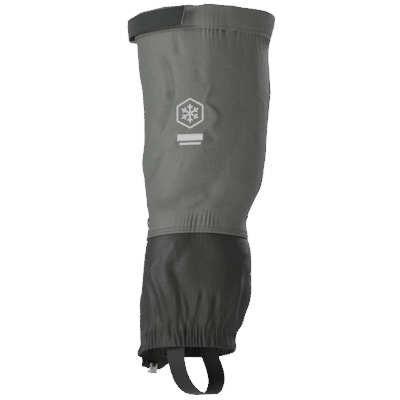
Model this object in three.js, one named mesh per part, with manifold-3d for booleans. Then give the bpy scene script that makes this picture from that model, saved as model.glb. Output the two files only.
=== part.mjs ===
// A knee-high snow gaiter: a tube of coated cloth, open down the front under a flap, with a strapped
// cuff, an elastic ankle seam, a gathered hem, a lace hook and a webbing strap under the boot.
//
// Millimetres. +Z runs up the leg and the hem lies at height 0. The flap is at the front (-X), the back
// seam at +X, the outer side of the leg at -Y and the inner side at +Y. Angles go round the leg in
// degrees from +X through +Y.
import * as THREE from 'three';
import { mergeVertices } from 'three/addons/utils/BufferGeometryUtils.js';
import Module from 'manifold-3d';

const wasm = await Module();
wasm.setup();

// ---------------------------------------------------------------- driving dimensions

const CLEARANCE = 0.3; // between pieces that touch
const FABRIC = 1.2; // coated cloth with its lining
const ELASTIC = 1.2; // elastic braid's thickness
const TAPE = 1.0; // thickness of one hook or loop tape

const LEG_HEIGHT = 403.5; // hem to rim, at the front and the back
const RIM_ARCH = 9.3; // how much higher the rim is at the sides
const CUFF_HEIGHT = 29;
const SEAM_HEIGHT = 138; // where the upper cloth meets the lower
const HEM_CASING_HEIGHT = 16;
const EDGE_LAP = 5; // how far a panel's edge reaches into a casing

const SECTION_EXPONENT = 2.3; // how square the tube's cross-section is
const ANGLE_STEP = 9; // facets of the tube, in degrees
const FINE_ROW = 8; // facets of the tube along the leg, at its two ends
const COARSE_ROW = 16; // and between them
const FINE_ROWS = 5; // fine rows above the hem
const TOP_ROW = 35.5; // the lowest of the upper fine rows, below LEG_HEIGHT
const END_MARGIN = 0.9; // no facet is narrower than this, in degrees or millimetres
const ROUND_FACETS = 24; // of bars, discs and rounded ends
const MERGE_DISTANCE = 1e-4;
const CUT_MARGIN = 1; // how far a cutting shape runs past what it cuts

// Cross-sections of the tube: how far its cloth lies from the leg's axis in front and behind, and
// half its width across.
const SECTIONS = [
  { height: 0, front: 66, back: 48, depth: 46 }, // hem
  { height: 22, front: 66.5, back: 47, depth: 45.5 }, // gathers above the hem
  { height: 62, front: 66, back: 65.5, depth: 53 }, // widest over the boot
  { height: SEAM_HEIGHT - 26, front: 62.5, back: 66, depth: 52.5 }, // top of the boot
  { height: SEAM_HEIGHT, front: 58.5, back: 62.5, depth: 50 },
  { height: SEAM_HEIGHT + 22, front: 56.5, back: 60.5, depth: 50 }, // ankle
  { height: SEAM_HEIGHT + 67, front: 61.5, back: 78, depth: 57 }, // lower calf
  { height: LEG_HEIGHT - 103.5, front: 63.5, back: 87.5, depth: 62 }, // calf
  { height: LEG_HEIGHT - 31, front: 71, back: 86.5, depth: 62.5 }, // under the cuff
  { height: LEG_HEIGHT + RIM_ARCH, front: 73, back: 95, depth: 63 }, // rim
];

const FLAP_HINGE_ANGLE = 216; // the flap is sewn to the outer panel here
const FLAP_EDGE_ANGLE = 162; // the flap's free edge
const UNDERLAP_END_ANGLE = 207; // the inner panel runs this far under the flap
const FLAP_DROP = 5; // how far the flap hangs below the hem
const TAPE_WIDTH_ANGLE = 18; // width of the hook and loop tapes, round the leg
const TAPE_ANGLE = 171; // where the tapes begin

const SNAP_ANGLE = 184;
const SNAP_HEIGHT = 155;
const SNAP_RADIUS = 6;
const SNAP_SOCKET_RADIUS = 4;
const SNAP_STUD_RADIUS = 3;
const SNAP_POST_RADIUS = 5;
const SNAP_CAP_HEIGHT = 1.8;
const SNAP_PLATE = 0.7; // thickness of the stud, the socket and the post
const SNAP_SEAT = 0.8; // a flat disc's extra room on the curved cloth

const OUTER_MIDDLE_ANGLE = 270; // the middles of the leg's two sides
const INNER_MIDDLE_ANGLE = 90;
const ELASTIC_SPAN = 44; // half the length of each ankle elastic, in degrees
const ANKLE_ELASTIC_HEIGHT = 20;
const CUFF_ELASTIC_START = 81; // the cuff's elastic runs round the back from here
const HEM_CASING_END_ANGLE = 112; // the inner hem casing stops at the lace tab
const SEAM_TAPE_ANGLE = 9; // half the width of the back seam's tape, in degrees

const TAB_START_ANGLE = 117;
const TAB_CORNER_ANGLE = 132;
const TAB_END_ANGLE = 189;
const TAB_TOP = 24;
const TAB_SHORT_DROP = 8; // below the hem, where the tab starts
const TAB_DROP = 18; // below the hem, from its corner on

const HOOK_ANGLE = 147;
const HOOK_WIDTH = 12;
const HOOK_PLATE = 1.2;
const HOOK_LENGTH = 11;
const HOOK_BAR_RADIUS = 1;
const HOOK_RISE = 6; // the bar's height above the tab's lower edge
const HOOK_CURL = 4; // how far the hook's lower end turns inwards
const HOOK_LIP = 4; // and how far it then rises
const KEEPER_WALL = 1;
const KEEPER_WIDTH = 5;

const WEBBING = 1.6; // thickness of every strap
const CUFF_STRAP_WIDTH = 20;
const STRAP_ARC_RADIUS = 77; // of the strap's inner face round the front of the cuff
const STRAP_STAND_OFF = 8.5; // from the cuff's cloth, at the front
const STRAP_CENTRE_Y = 5;
const STRAP_TILT = 5.3; // the strap rises towards the back, in degrees
const STRAP_BELOW_RIM = 11.5; // the strap's middle, at the front
const TAIL_END_ANGLE = 262;
const TAIL_CUT = 6; // how far the tail's end is cut on the slant, in degrees
const TAIL_GAP = 1; // between the tail and the fixed strap, in degrees
const STRAP_STEP = 4; // facets of the strap, in degrees
const STRAP_FACETS = 16; // of the fixed strap
const STRAP_SEAT = 1.1; // room between a flat strap and the leaning cuff
const STRAP_SEWN_ANGLES = [124, 117, 110, 103]; // where the fixed strap lies on the cuff
const TAB_SEWN_ANGLES = [144, 150, 156, 162]; // where the buckle's tab lies on it

const BUCKLE_ANGLE = 146; // the buckle's middle, on the strap's arc
const BUCKLE_LENGTH = 30;
const BUCKLE_WALL = 2;
const BUCKLE_BASE = 1.2;
const BUCKLE_HEIGHT = 10; // of the side walls, from the base's underside
const CAM_RADIUS = 3.2;
const CAM_HEIGHT = 5.2; // the pin's height over the strap's inner face, at the buckle's middle
const CAM_PIN_RADIUS = 1;
const CAM_LEVER_LENGTH = 15;
const CAM_LEVER_THICKNESS = 2;
const BUCKLE_BAR = 2.4; // the bar that the tab loops round
const BUCKLE_SLOT = 4.8; // between that bar and the base

const INSTEP_WIDTH = 22;
const INSTEP_OUTER_ANGLE = 255;
const INSTEP_INNER_ANGLE = 63;
const INSTEP_SEWN_HEIGHT = 16;
const INSTEP_DEPTH = 53; // hem to the underside of the strap
const INSTEP_FLAT = 20; // length of the flat under the boot
const INSTEP_BEND = 0.6; // how full the loop's two curves are, as a share of their sides
const INSTEP_FACETS = 8; // of each curve
const INSTEP_INSET = 1.5; // room between the strap's top and the casing

const COLOURS = {
  upperCloth: 0x565a57,
  lowerCloth: 0x2b2c2a,
  webbing: 0x3a3b39,
  elastic: 0x1f1f1f,
  tape: 0x262626,
  plastic: 0x1b1b1c,
  snap: 0x33343a,
  steel: 0xc9c8c0,
};

// ---------------------------------------------------------------- shared shapes

const radians = THREE.MathUtils.degToRad;

/** A value that may be given as a number or as a function of the angle. */
function valueAt(value, angle) {
  return typeof value === 'function' ? value(angle) : value;
}

/** One measure of the tube at a height: a smooth curve through the SECTIONS. */
function measureAt(key, height) {
  const last = SECTIONS.length - 1;
  const clamped = THREE.MathUtils.clamp(height, SECTIONS[0].height, SECTIONS[last].height);
  let i = 0;
  while (i < last - 1 && SECTIONS[i + 1].height < clamped) i += 1;
  const slope = (k) => {
    const a = SECTIONS[Math.max(k - 1, 0)];
    const b = SECTIONS[Math.min(k + 1, last)];
    return (b[key] - a[key]) / (b.height - a.height);
  };
  const low = SECTIONS[i];
  const high = SECTIONS[i + 1];
  const span = high.height - low.height;
  const t = (clamped - low.height) / span;
  const rise = high[key] - low[key];
  const startBend = slope(i) * span - rise;
  const endBend = rise - slope(i + 1) * span;
  return low[key] + rise * t + t * (1 - t) * (startBend * (1 - t) + endBend * t);
}

/** A point on the tube's outer face, moved outwards by offset. */
function wallPoint(angle, height, offset = 0) {
  const front = measureAt('front', height);
  const back = measureAt('back', height);
  const depth = measureAt('depth', height);
  const length = (front + back) / 2;
  const cos = Math.cos(radians(angle));
  const sin = Math.sin(radians(angle));
  const n = SECTION_EXPONENT;
  const radius = (Math.abs(cos / length) ** n + Math.abs(sin / depth) ** n) ** (-1 / n);
  const x = radius * cos;
  const y = radius * sin;
  const normal = new THREE.Vector3(
    (Math.sign(x) * Math.abs(x / length) ** (n - 1)) / length,
    (Math.sign(y) * Math.abs(y / depth) ** (n - 1)) / depth,
    0,
  ).normalize();
  return new THREE.Vector3((back - front) / 2 + x, y, height).addScaledVector(normal, offset);
}

/** The tube's outward direction at an angle and a height. */
function wallNormal(angle, height) {
  return wallPoint(angle, height, 1).sub(wallPoint(angle, height)).normalize();
}

/** Height of the cuff's rim at an angle. */
function rimHeight(angle) {
  return LEG_HEIGHT + RIM_ARCH * Math.sin(radians(angle)) ** 2;
}

/** Height of the cuff's lower edge at an angle. */
function cuffBottom(angle) {
  return rimHeight(angle) - CUFF_HEIGHT;
}

/** Every multiple of a step from low to high. */
function multiples(step, low, high) {
  const stops = [];
  for (let k = Math.ceil(low / step); k * step <= high; k += 1) stops.push(k * step);
  return stops;
}

// The facets' edges that all layers of the tube share: finer rows where the tube bends most.
const COLUMN_STOPS = multiples(ANGLE_STEP, 0, 720);
const FINE_TOP = FINE_ROW * FINE_ROWS;
const COARSE_TOP = LEG_HEIGHT - TOP_ROW;
const ROW_STOPS = [
  ...multiples(FINE_ROW, -FINE_ROW, FINE_TOP),
  ...multiples(COARSE_ROW, FINE_TOP + END_MARGIN, COARSE_TOP - END_MARGIN),
  ...multiples(FINE_ROW, 0, TOP_ROW + RIM_ARCH).map((rise) => COARSE_TOP + rise),
];

/** Two ends, and the stops that lie well between them. */
function stopsBetween(from, to, stops, margin, lastFrom = from, firstTo = to) {
  const between = stops.filter((stop) => stop > lastFrom + margin && stop < firstTo - margin);
  return [from, ...between, to];
}

/** Only positions, with shared vertices merged. */
function plainGeometry(geometry) {
  const plain = geometry.clone();
  plain.deleteAttribute('normal');
  plain.deleteAttribute('uv');
  return mergeVertices(plain, MERGE_DISTANCE);
}

/** Moves every vertex of a geometry to where place(x, y, z) says. */
function bend(geometry, place) {
  const bent = plainGeometry(geometry);
  const position = bent.attributes.position;
  for (let i = 0; i < position.count; i += 1) {
    const point = place(position.getX(i), position.getY(i), position.getZ(i));
    position.setXYZ(i, point.x, point.y, point.z);
  }
  return bent;
}

/**
 * A closed patch of the tube's wall. low, high, outer and inner are numbers or functions of the angle.
 * All patches share the tube's facets, so that layers follow each other.
 */
function wallPatch({ from, to, low, high, outer, inner }) {
  const angles = stopsBetween(from, to, COLUMN_STOPS, END_MARGIN);
  const lastLow = Math.max(...angles.map((angle) => valueAt(low, angle)));
  const firstHigh = Math.min(...angles.map((angle) => valueAt(high, angle)));
  const heightsAt = (angle) => {
    return stopsBetween(valueAt(low, angle), valueAt(high, angle), ROW_STOPS, END_MARGIN, lastLow, firstHigh);
  };
  const columns = angles.length - 1;
  const rows = heightsAt(from).length - 1;
  const box = new THREE.BoxGeometry(1, 1, 1, columns, rows, 1);
  return bend(box, (x, y, z) => {
    const angle = angles[Math.round((x + 0.5) * columns)];
    const height = heightsAt(angle)[Math.round((y + 0.5) * rows)];
    const offset = z > 0 ? valueAt(outer, angle) : valueAt(inner, angle);
    return wallPoint(angle, height, offset);
  });
}

/** A manifold solid from a closed geometry. */
function solidOf(geometry) {
  const plain = plainGeometry(geometry);
  const mesh = new wasm.Mesh({
    numProp: 3,
    vertProperties: new Float32Array(plain.attributes.position.array),
    triVerts: new Uint32Array(plain.index.array),
  });
  return new wasm.Manifold(mesh);
}

/** A geometry from a manifold solid. */
function geometryOf(solid) {
  const mesh = solid.getMesh();
  const geometry = new THREE.BufferGeometry();
  geometry.setAttribute('position', new THREE.BufferAttribute(new Float32Array(mesh.vertProperties), 3));
  geometry.setIndex(new THREE.BufferAttribute(new Uint32Array(mesh.triVerts), 1));
  return geometry;
}

/** first with each of the other geometries cut out of it. */
function cut(first, ...others) {
  const solid = others.reduce((left, other) => left.subtract(solidOf(other)), solidOf(first));
  return geometryOf(solid);
}

/** All the geometries joined into one body. */
function join(first, ...others) {
  const solid = others.reduce((left, other) => left.add(solidOf(other)), solidOf(first));
  return geometryOf(solid);
}

/** A box between two corners. */
function boxBetween(low, high) {
  const size = high.map((value, i) => value - low[i]);
  const middle = high.map((value, i) => (value + low[i]) / 2);
  return new THREE.BoxGeometry(...size).translate(...middle);
}

/** A round bar along local Z, centred at x, y. */
function barAlongZ(radius, length, x = 0, y = 0) {
  const bar = new THREE.CylinderGeometry(radius, radius, length, ROUND_FACETS).rotateX(Math.PI / 2);
  return bar.translate(x, y, 0);
}

/** A flat outline extruded along local Z and centred on it. */
function slab(points, width) {
  const shape = new THREE.Shape(points.map(([x, y]) => new THREE.Vector2(x, y)));
  const options = { depth: width, bevelEnabled: false };
  return new THREE.ExtrudeGeometry(shape, options).translate(0, 0, -width / 2);
}

/** A ribbon of webbing: a line of plan points, thickened to one side and extruded along local Z. */
function ribbon(points, width, thickness = WEBBING) {
  const sideways = points.map((point, i) => {
    const before = points[Math.max(i - 1, 0)];
    const after = points[Math.min(i + 1, points.length - 1)];
    const along = new THREE.Vector2().subVectors(after, before).normalize();
    return new THREE.Vector2(along.y, -along.x);
  });
  const far = points.map((point, i) => point.clone().addScaledVector(sideways[i], thickness));
  const outline = [...points, ...far.reverse()];
  return slab(outline.map((point) => [point.x, point.y]), width);
}

const group = new THREE.Group();

/** Adds a named sub-part to the model. */
function add(name, geometry, colour, { metalness = 0, roughness = 0.85, parent = group } = {}) {
  const material = new THREE.MeshStandardMaterial({ color: colour, metalness, roughness });
  const shown = plainGeometry(geometry);
  shown.computeVertexNormals();
  const mesh = new THREE.Mesh(shown, material);
  mesh.name = name;
  parent.add(mesh);
}

/** A nested group on the tube: local X points outwards, local Y round the leg and local Z up. */
function groupOnWall(angle, height, offset = 0) {
  const outwards = wallNormal(angle, height);
  const round = new THREE.Vector3(-outwards.y, outwards.x, 0);
  const up = new THREE.Vector3(0, 0, 1);
  const place = new THREE.Group();
  const axes = new THREE.Matrix4().makeBasis(outwards, round, up);
  place.quaternion.setFromRotationMatrix(axes);
  place.position.copy(wallPoint(angle, height, offset));
  group.add(place);
  return place;
}

// ---------------------------------------------------------------- layers of the wall

const CASING_OUTER = CLEARANCE + FABRIC; // outer face of a casing folded round a panel's edge
const CASING_GAP_INNER = -(FABRIC + CLEARANCE);
const CASING_INNER = CASING_GAP_INNER - FABRIC;
const HOOK_TAPE_OUTER = -(FABRIC + CLEARANCE);
const LOOP_TAPE_OUTER = HOOK_TAPE_OUTER - TAPE - CLEARANCE;
const UNDERLAP_OUTER = LOOP_TAPE_OUTER - TAPE - CLEARANCE;
const HALF_GAP_ANGLE = 0.18; // half the clearance between two edges, in degrees round the leg

/** 0 on the plain wall and 1 where the inner panel has stepped in under the flap. */
function underlapStep(angle) {
  const start = FLAP_EDGE_ANGLE - ANGLE_STEP;
  return THREE.MathUtils.clamp((angle - start) / ANGLE_STEP, 0, 1);
}

/** Outer face of the inner panel, which dips under the flap. */
function innerPanelOuter(angle) {
  return UNDERLAP_OUTER * underlapStep(angle);
}

/** Inner face of the inner panel. */
function innerPanelInner(angle) {
  return innerPanelOuter(angle) - FABRIC;
}

/** Top edge of the inner panel: inside the cuff's channel, but below the cuff under the flap. */
function innerPanelTop(angle) {
  return cuffBottom(angle) + THREE.MathUtils.lerp(EDGE_LAP, -CLEARANCE, underlapStep(angle + ANGLE_STEP));
}

// ---------------------------------------------------------------- the cloth tube

const OUTER_SIDE = { from: FLAP_HINGE_ANGLE + HALF_GAP_ANGLE, to: 360 - HALF_GAP_ANGLE };
const INNER_SIDE = { from: HALF_GAP_ANGLE, to: UNDERLAP_END_ANGLE };

function addUpperPanels() {
  const low = SEAM_HEIGHT + CLEARANCE / 2;
  const outerTop = (angle) => cuffBottom(angle) + EDGE_LAP;
  const outer = { ...OUTER_SIDE, low, high: outerTop, outer: 0, inner: -FABRIC };
  const innerFaces = { outer: innerPanelOuter, inner: innerPanelInner };
  const inner = { ...INNER_SIDE, ...innerFaces, low, high: innerPanelTop };
  add('upper_panel_outer', wallPatch(outer), COLOURS.upperCloth);
  add('upper_panel_inner', wallPatch(inner), COLOURS.upperCloth);
}

/** Lower edge of the inner panel: inside the hem's channel, and free from the lace tab on. */
function innerPanelBottom(angle) {
  return angle <= HEM_CASING_END_ANGLE ? HEM_CASING_HEIGHT - EDGE_LAP : FABRIC;
}

function addLowerPanels() {
  const high = SEAM_HEIGHT - CLEARANCE / 2;
  const low = HEM_CASING_HEIGHT - EDGE_LAP;
  const outer = { ...OUTER_SIDE, low, high, outer: 0, inner: -FABRIC };
  const innerFaces = { outer: innerPanelOuter, inner: innerPanelInner };
  const inner = { ...INNER_SIDE, ...innerFaces, low: innerPanelBottom, high };
  add('lower_panel_outer', wallPatch(outer), COLOURS.lowerCloth);
  add('lower_panel_inner', wallPatch(inner), COLOURS.lowerCloth);
}

/** A channel of cloth folded over a panel's edge. */
function casing({ from, to, low, high, pocketLow, pocketHigh }) {
  const body = wallPatch({ from, to, low, high, outer: CASING_OUTER, inner: CASING_INNER });
  const hollow = { low: pocketLow, high: pocketHigh, outer: CLEARANCE, inner: CASING_GAP_INNER };
  const pocket = wallPatch({ from: from - CUT_MARGIN, to: to + CUT_MARGIN, ...hollow });
  return cut(body, pocket);
}

function addCuff() {
  const channel = {
    low: cuffBottom,
    high: rimHeight,
    pocketLow: (angle) => cuffBottom(angle) - FABRIC,
    pocketHigh: (angle) => rimHeight(angle) - FABRIC,
  };
  const front = FLAP_EDGE_ANGLE + ANGLE_STEP;
  const outer = { ...channel, from: front + HALF_GAP_ANGLE, to: OUTER_SIDE.to };
  const inner = { ...channel, from: INNER_SIDE.from, to: front - HALF_GAP_ANGLE };
  add('cuff_outer', casing(outer), COLOURS.upperCloth);
  add('cuff_inner', casing(inner), COLOURS.upperCloth);
  const elastic = {
    from: 360 - CUFF_ELASTIC_START,
    to: 360 + CUFF_ELASTIC_START,
    low: (angle) => cuffBottom(angle) + EDGE_LAP + CLEARANCE,
    high: (angle) => rimHeight(angle) - FABRIC - CLEARANCE,
    outer: 0,
    inner: -ELASTIC,
  };
  add('cuff_elastic', wallPatch(elastic), COLOURS.elastic);
}

function addHem() {
  const channel = {
    low: 0,
    high: HEM_CASING_HEIGHT,
    pocketLow: FABRIC,
    pocketHigh: HEM_CASING_HEIGHT + FABRIC,
  };
  add('hem_casing_outer', casing({ ...channel, ...OUTER_SIDE }), COLOURS.lowerCloth);
  const inner = { ...channel, from: INNER_SIDE.from, to: HEM_CASING_END_ANGLE - HALF_GAP_ANGLE };
  add('hem_casing_inner', casing(inner), COLOURS.lowerCloth);
  const elastic = {
    from: FLAP_HINGE_ANGLE + ANGLE_STEP,
    to: 360 + HEM_CASING_END_ANGLE - ANGLE_STEP,
    low: FABRIC + CLEARANCE,
    high: HEM_CASING_HEIGHT - EDGE_LAP - CLEARANCE,
    outer: 0,
    inner: -ELASTIC,
  };
  add('hem_elastic', wallPatch(elastic), COLOURS.elastic);
}

function addAnkleElastics() {
  const strip = {
    low: SEAM_HEIGHT - EDGE_LAP,
    high: SEAM_HEIGHT - EDGE_LAP + ANKLE_ELASTIC_HEIGHT,
    outer: CASING_GAP_INNER,
    inner: CASING_GAP_INNER - ELASTIC,
  };
  const sides = { ankle_elastic_outer: OUTER_MIDDLE_ANGLE, ankle_elastic_inner: INNER_MIDDLE_ANGLE };
  for (const [name, middle] of Object.entries(sides)) {
    const patch = { ...strip, from: middle - ELASTIC_SPAN, to: middle + ELASTIC_SPAN };
    add(name, wallPatch(patch), COLOURS.elastic);
  }
}

function addBackSeamTapes() {
  const strip = {
    from: 360 - SEAM_TAPE_ANGLE,
    to: 360 + SEAM_TAPE_ANGLE,
    outer: CASING_GAP_INNER,
    inner: CASING_GAP_INNER - TAPE,
  };
  const upper = { low: SEAM_HEIGHT + CLEARANCE / 2, high: (angle) => cuffBottom(angle) - CLEARANCE };
  const lower = { low: HEM_CASING_HEIGHT + CLEARANCE, high: SEAM_HEIGHT - CLEARANCE / 2 };
  add('back_seam_tape_upper', wallPatch({ ...strip, ...upper }), COLOURS.tape);
  add('back_seam_tape_lower', wallPatch({ ...strip, ...lower }), COLOURS.tape);
}

// ---------------------------------------------------------------- the front closure

function addFlap() {
  const strip = { from: FLAP_EDGE_ANGLE, to: FLAP_HINGE_ANGLE - HALF_GAP_ANGLE, outer: 0, inner: -FABRIC };
  const upper = { low: SEAM_HEIGHT + CLEARANCE / 2, high: (angle) => cuffBottom(angle) - CLEARANCE * 4 };
  const lower = { low: -FLAP_DROP, high: SEAM_HEIGHT - CLEARANCE / 2 };
  add('front_flap_upper', wallPatch({ ...strip, ...upper }), COLOURS.upperCloth);
  add('front_flap_lower', wallPatch({ ...strip, ...lower }), COLOURS.lowerCloth);
}

function addTapes() {
  const strip = { from: TAPE_ANGLE, to: TAPE_ANGLE + TAPE_WIDTH_ANGLE };
  const room = SNAP_RADIUS + COARSE_ROW / 2;
  const spans = {
    lower: { low: HEM_CASING_HEIGHT, high: SNAP_HEIGHT - room },
    upper: { low: SNAP_HEIGHT + room, high: LEG_HEIGHT - CUFF_HEIGHT - COARSE_ROW },
  };
  for (const [name, span] of Object.entries(spans)) {
    const hook = { ...strip, ...span, outer: HOOK_TAPE_OUTER, inner: HOOK_TAPE_OUTER - TAPE };
    const loop = { ...strip, ...span, outer: LOOP_TAPE_OUTER, inner: LOOP_TAPE_OUTER - TAPE };
    add(`hook_tape_${name}`, wallPatch(hook), COLOURS.tape);
    add(`loop_tape_${name}`, wallPatch(loop), COLOURS.tape);
  }
}

/** A disc on the wall, between two distances from the tube's outer face. */
function snapDisc(name, radius, near, far) {
  const place = groupOnWall(SNAP_ANGLE, SNAP_HEIGHT);
  const disc = new THREE.CylinderGeometry(radius, radius, far - near, ROUND_FACETS).rotateZ(Math.PI / 2);
  disc.translate((near + far) / 2, 0, 0);
  add(name, disc, COLOURS.snap, { metalness: 0.6, roughness: 0.35, parent: place });
}

function addSnap() {
  const socketOuter = -(FABRIC + CLEARANCE + SNAP_SEAT / 2);
  const studOuter = socketOuter - SNAP_PLATE - CLEARANCE;
  const postOuter = UNDERLAP_OUTER - FABRIC - SNAP_SEAT - CLEARANCE;
  snapDisc('snap_cap', SNAP_RADIUS, SNAP_SEAT, SNAP_SEAT + SNAP_CAP_HEIGHT);
  snapDisc('snap_socket', SNAP_SOCKET_RADIUS, socketOuter - SNAP_PLATE, socketOuter);
  snapDisc('snap_stud', SNAP_STUD_RADIUS, studOuter - SNAP_PLATE, studOuter);
  snapDisc('snap_post', SNAP_POST_RADIUS, postOuter - SNAP_PLATE, postOuter);
}

// ---------------------------------------------------------------- lace tab and hook

/** Lower edge of the lace tab. */
function tabBottom(angle) {
  const t = THREE.MathUtils.clamp((angle - TAB_START_ANGLE) / (TAB_CORNER_ANGLE - TAB_START_ANGLE), 0, 1);
  return -THREE.MathUtils.lerp(TAB_SHORT_DROP, TAB_DROP, t);
}

function addLaceTab() {
  const outer = (angle) => innerPanelInner(angle) - CLEARANCE;
  const inner = (angle) => outer(angle) - FABRIC;
  const tab = { from: TAB_START_ANGLE, to: TAB_END_ANGLE, low: tabBottom, high: TAB_TOP, outer, inner };
  add('lace_tab', wallPatch(tab), COLOURS.lowerCloth);
}

const KEEPER_REACH = HOOK_BAR_RADIUS + CLEARANCE * 2 + KEEPER_WALL; // the bar's axis to the keeper's outside

function hookGroup() {
  const tabInner = innerPanelInner(HOOK_ANGLE) - CLEARANCE - FABRIC;
  return groupOnWall(HOOK_ANGLE, HOOK_RISE - TAB_DROP, tabInner - CLEARANCE * 2 - KEEPER_REACH);
}

/** A small square loop of webbing that the hook's bar turns in. */
function addHookKeeper() {
  const inside = KEEPER_REACH - KEEPER_WALL;
  const half = KEEPER_WIDTH / 2;
  const block = boxBetween([-KEEPER_REACH, -half, -KEEPER_REACH], [KEEPER_REACH, half, KEEPER_REACH]);
  const past = half + CUT_MARGIN;
  const hole = boxBetween([-inside, -past, -inside], [inside, past, inside]);
  add('hook_keeper', cut(block, hole), COLOURS.webbing, { parent: hookGroup() });
}

/** The hook: a bar in the keeper, two arms past it, and a plate that curls up at its lower end. */
function addLaceHook() {
  const half = HOOK_WIDTH / 2;
  const bar = new THREE.CylinderGeometry(HOOK_BAR_RADIUS, HOOK_BAR_RADIUS, HOOK_WIDTH, ROUND_FACETS);
  const thick = HOOK_PLATE / 2;
  const armTop = HOOK_BAR_RADIUS;
  const armInner = KEEPER_WIDTH / 2 + CLEARANCE * 2;
  const plateTop = -KEEPER_REACH - CLEARANCE * 2;
  const arms = [-1, 1].map((side) => {
    const edges = [side * armInner, side * half].sort((a, b) => a - b);
    return boxBetween([-thick, edges[0], plateTop - thick], [thick, edges[1], armTop]);
  });
  const plate = boxBetween([-thick, -half, -HOOK_LENGTH], [thick, half, plateTop]);
  const reach = thick + HOOK_CURL;
  const curl = boxBetween([-thick, -half, -HOOK_LENGTH], [reach, half, -HOOK_LENGTH + HOOK_PLATE]);
  const lip = boxBetween([reach - HOOK_PLATE, -half, -HOOK_LENGTH], [reach, half, -HOOK_LENGTH + HOOK_LIP]);
  const shape = join(bar, ...arms, plate, curl, lip);
  add('lace_hook', shape, COLOURS.steel, { metalness: 1, roughness: 0.3, parent: hookGroup() });
}

// ---------------------------------------------------------------- cuff strap and cam buckle

const STRAP_MIDDLE = LEG_HEIGHT - STRAP_BELOW_RIM;
const STRAP_FRONT = wallPoint(180, STRAP_MIDDLE, STRAP_STAND_OFF).x;
const STRAP_CENTRE_X = STRAP_FRONT + STRAP_ARC_RADIUS;

const strapGroup = new THREE.Group();
strapGroup.position.set(STRAP_CENTRE_X - STRAP_ARC_RADIUS, STRAP_CENTRE_Y, STRAP_MIDDLE);
strapGroup.rotation.y = -radians(STRAP_TILT);
group.add(strapGroup);

/** A plan point on the strap's arc, in the strap's own frame, whose origin is the arc's front point. */
function arcPoint(angle, radius = STRAP_ARC_RADIUS) {
  const centre = new THREE.Vector2(STRAP_ARC_RADIUS, 0);
  return centre.add(new THREE.Vector2(radius * Math.cos(radians(angle)), radius * Math.sin(radians(angle))));
}

/** A plan point on the cuff's wall, in the strap's own frame. */
function cuffPoint(angle, offset) {
  const point = wallPoint(angle, STRAP_MIDDLE, offset);
  return new THREE.Vector2(point.x - strapGroup.position.x, point.y - strapGroup.position.y);
}

const BUCKLE_HALF_ANGLE = THREE.MathUtils.radToDeg(BUCKLE_LENGTH / 2 / STRAP_ARC_RADIUS);
const TAIL_START_ANGLE = BUCKLE_ANGLE - BUCKLE_HALF_ANGLE + TAIL_GAP;

function addStrapTail() {
  const points = [];
  const steps = Math.round((TAIL_END_ANGLE - TAIL_START_ANGLE) / STRAP_STEP);
  for (let i = 0; i <= steps; i += 1) {
    points.push(arcPoint(THREE.MathUtils.lerp(TAIL_START_ANGLE, TAIL_END_ANGLE, i / steps)));
  }
  const strip = ribbon(points, CUFF_STRAP_WIDTH);
  const end = arcPoint(TAIL_END_ANGLE, STRAP_ARC_RADIUS);
  const slant = radians(TAIL_CUT) * STRAP_ARC_RADIUS;
  const half = CUFF_STRAP_WIDTH / 2 + CUT_MARGIN;
  const corner = slab([[-slant, -half], [slant, -half], [slant, half]], CUFF_STRAP_WIDTH);
  corner.rotateX(Math.PI / 2).translate(end.x, end.y, 0);
  add('strap_tail', cut(strip, corner), COLOURS.webbing, { parent: strapGroup });
}

/** The strap's fixed part: from the buckle to where it is sewn on the inner side of the cuff. */
function addCuffStrap() {
  const start = arcPoint(TAIL_START_ANGLE - TAIL_GAP);
  const seat = CASING_OUTER + STRAP_SEAT;
  const points = [start, ...STRAP_SEWN_ANGLES.map((angle) => cuffPoint(angle, seat))];
  const curve = new THREE.SplineCurve(points.reverse());
  const strap = ribbon(curve.getPoints(STRAP_FACETS), CUFF_STRAP_WIDTH);
  add('cuff_strap', strap, COLOURS.webbing, { parent: strapGroup });
}

/** A frame on the strap's arc at the buckle: local X outwards, local Y round the leg, Z along the pin. */
function buckleGroup() {
  const place = new THREE.Group();
  const middle = arcPoint(BUCKLE_ANGLE);
  place.position.set(middle.x, middle.y, 0);
  place.rotation.z = radians(BUCKLE_ANGLE);
  strapGroup.add(place);
  return place;
}

const BUCKLE_BOW = (BUCKLE_LENGTH / 2) ** 2 / (STRAP_ARC_RADIUS * 2); // how far the strap bows in it
const BUCKLE_FLOOR = -(BUCKLE_BOW + CLEARANCE * 2); // the base's upper face
const BUCKLE_HALF_WIDTH = CUFF_STRAP_WIDTH / 2 + CLEARANCE * 2 + BUCKLE_WALL;

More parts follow.
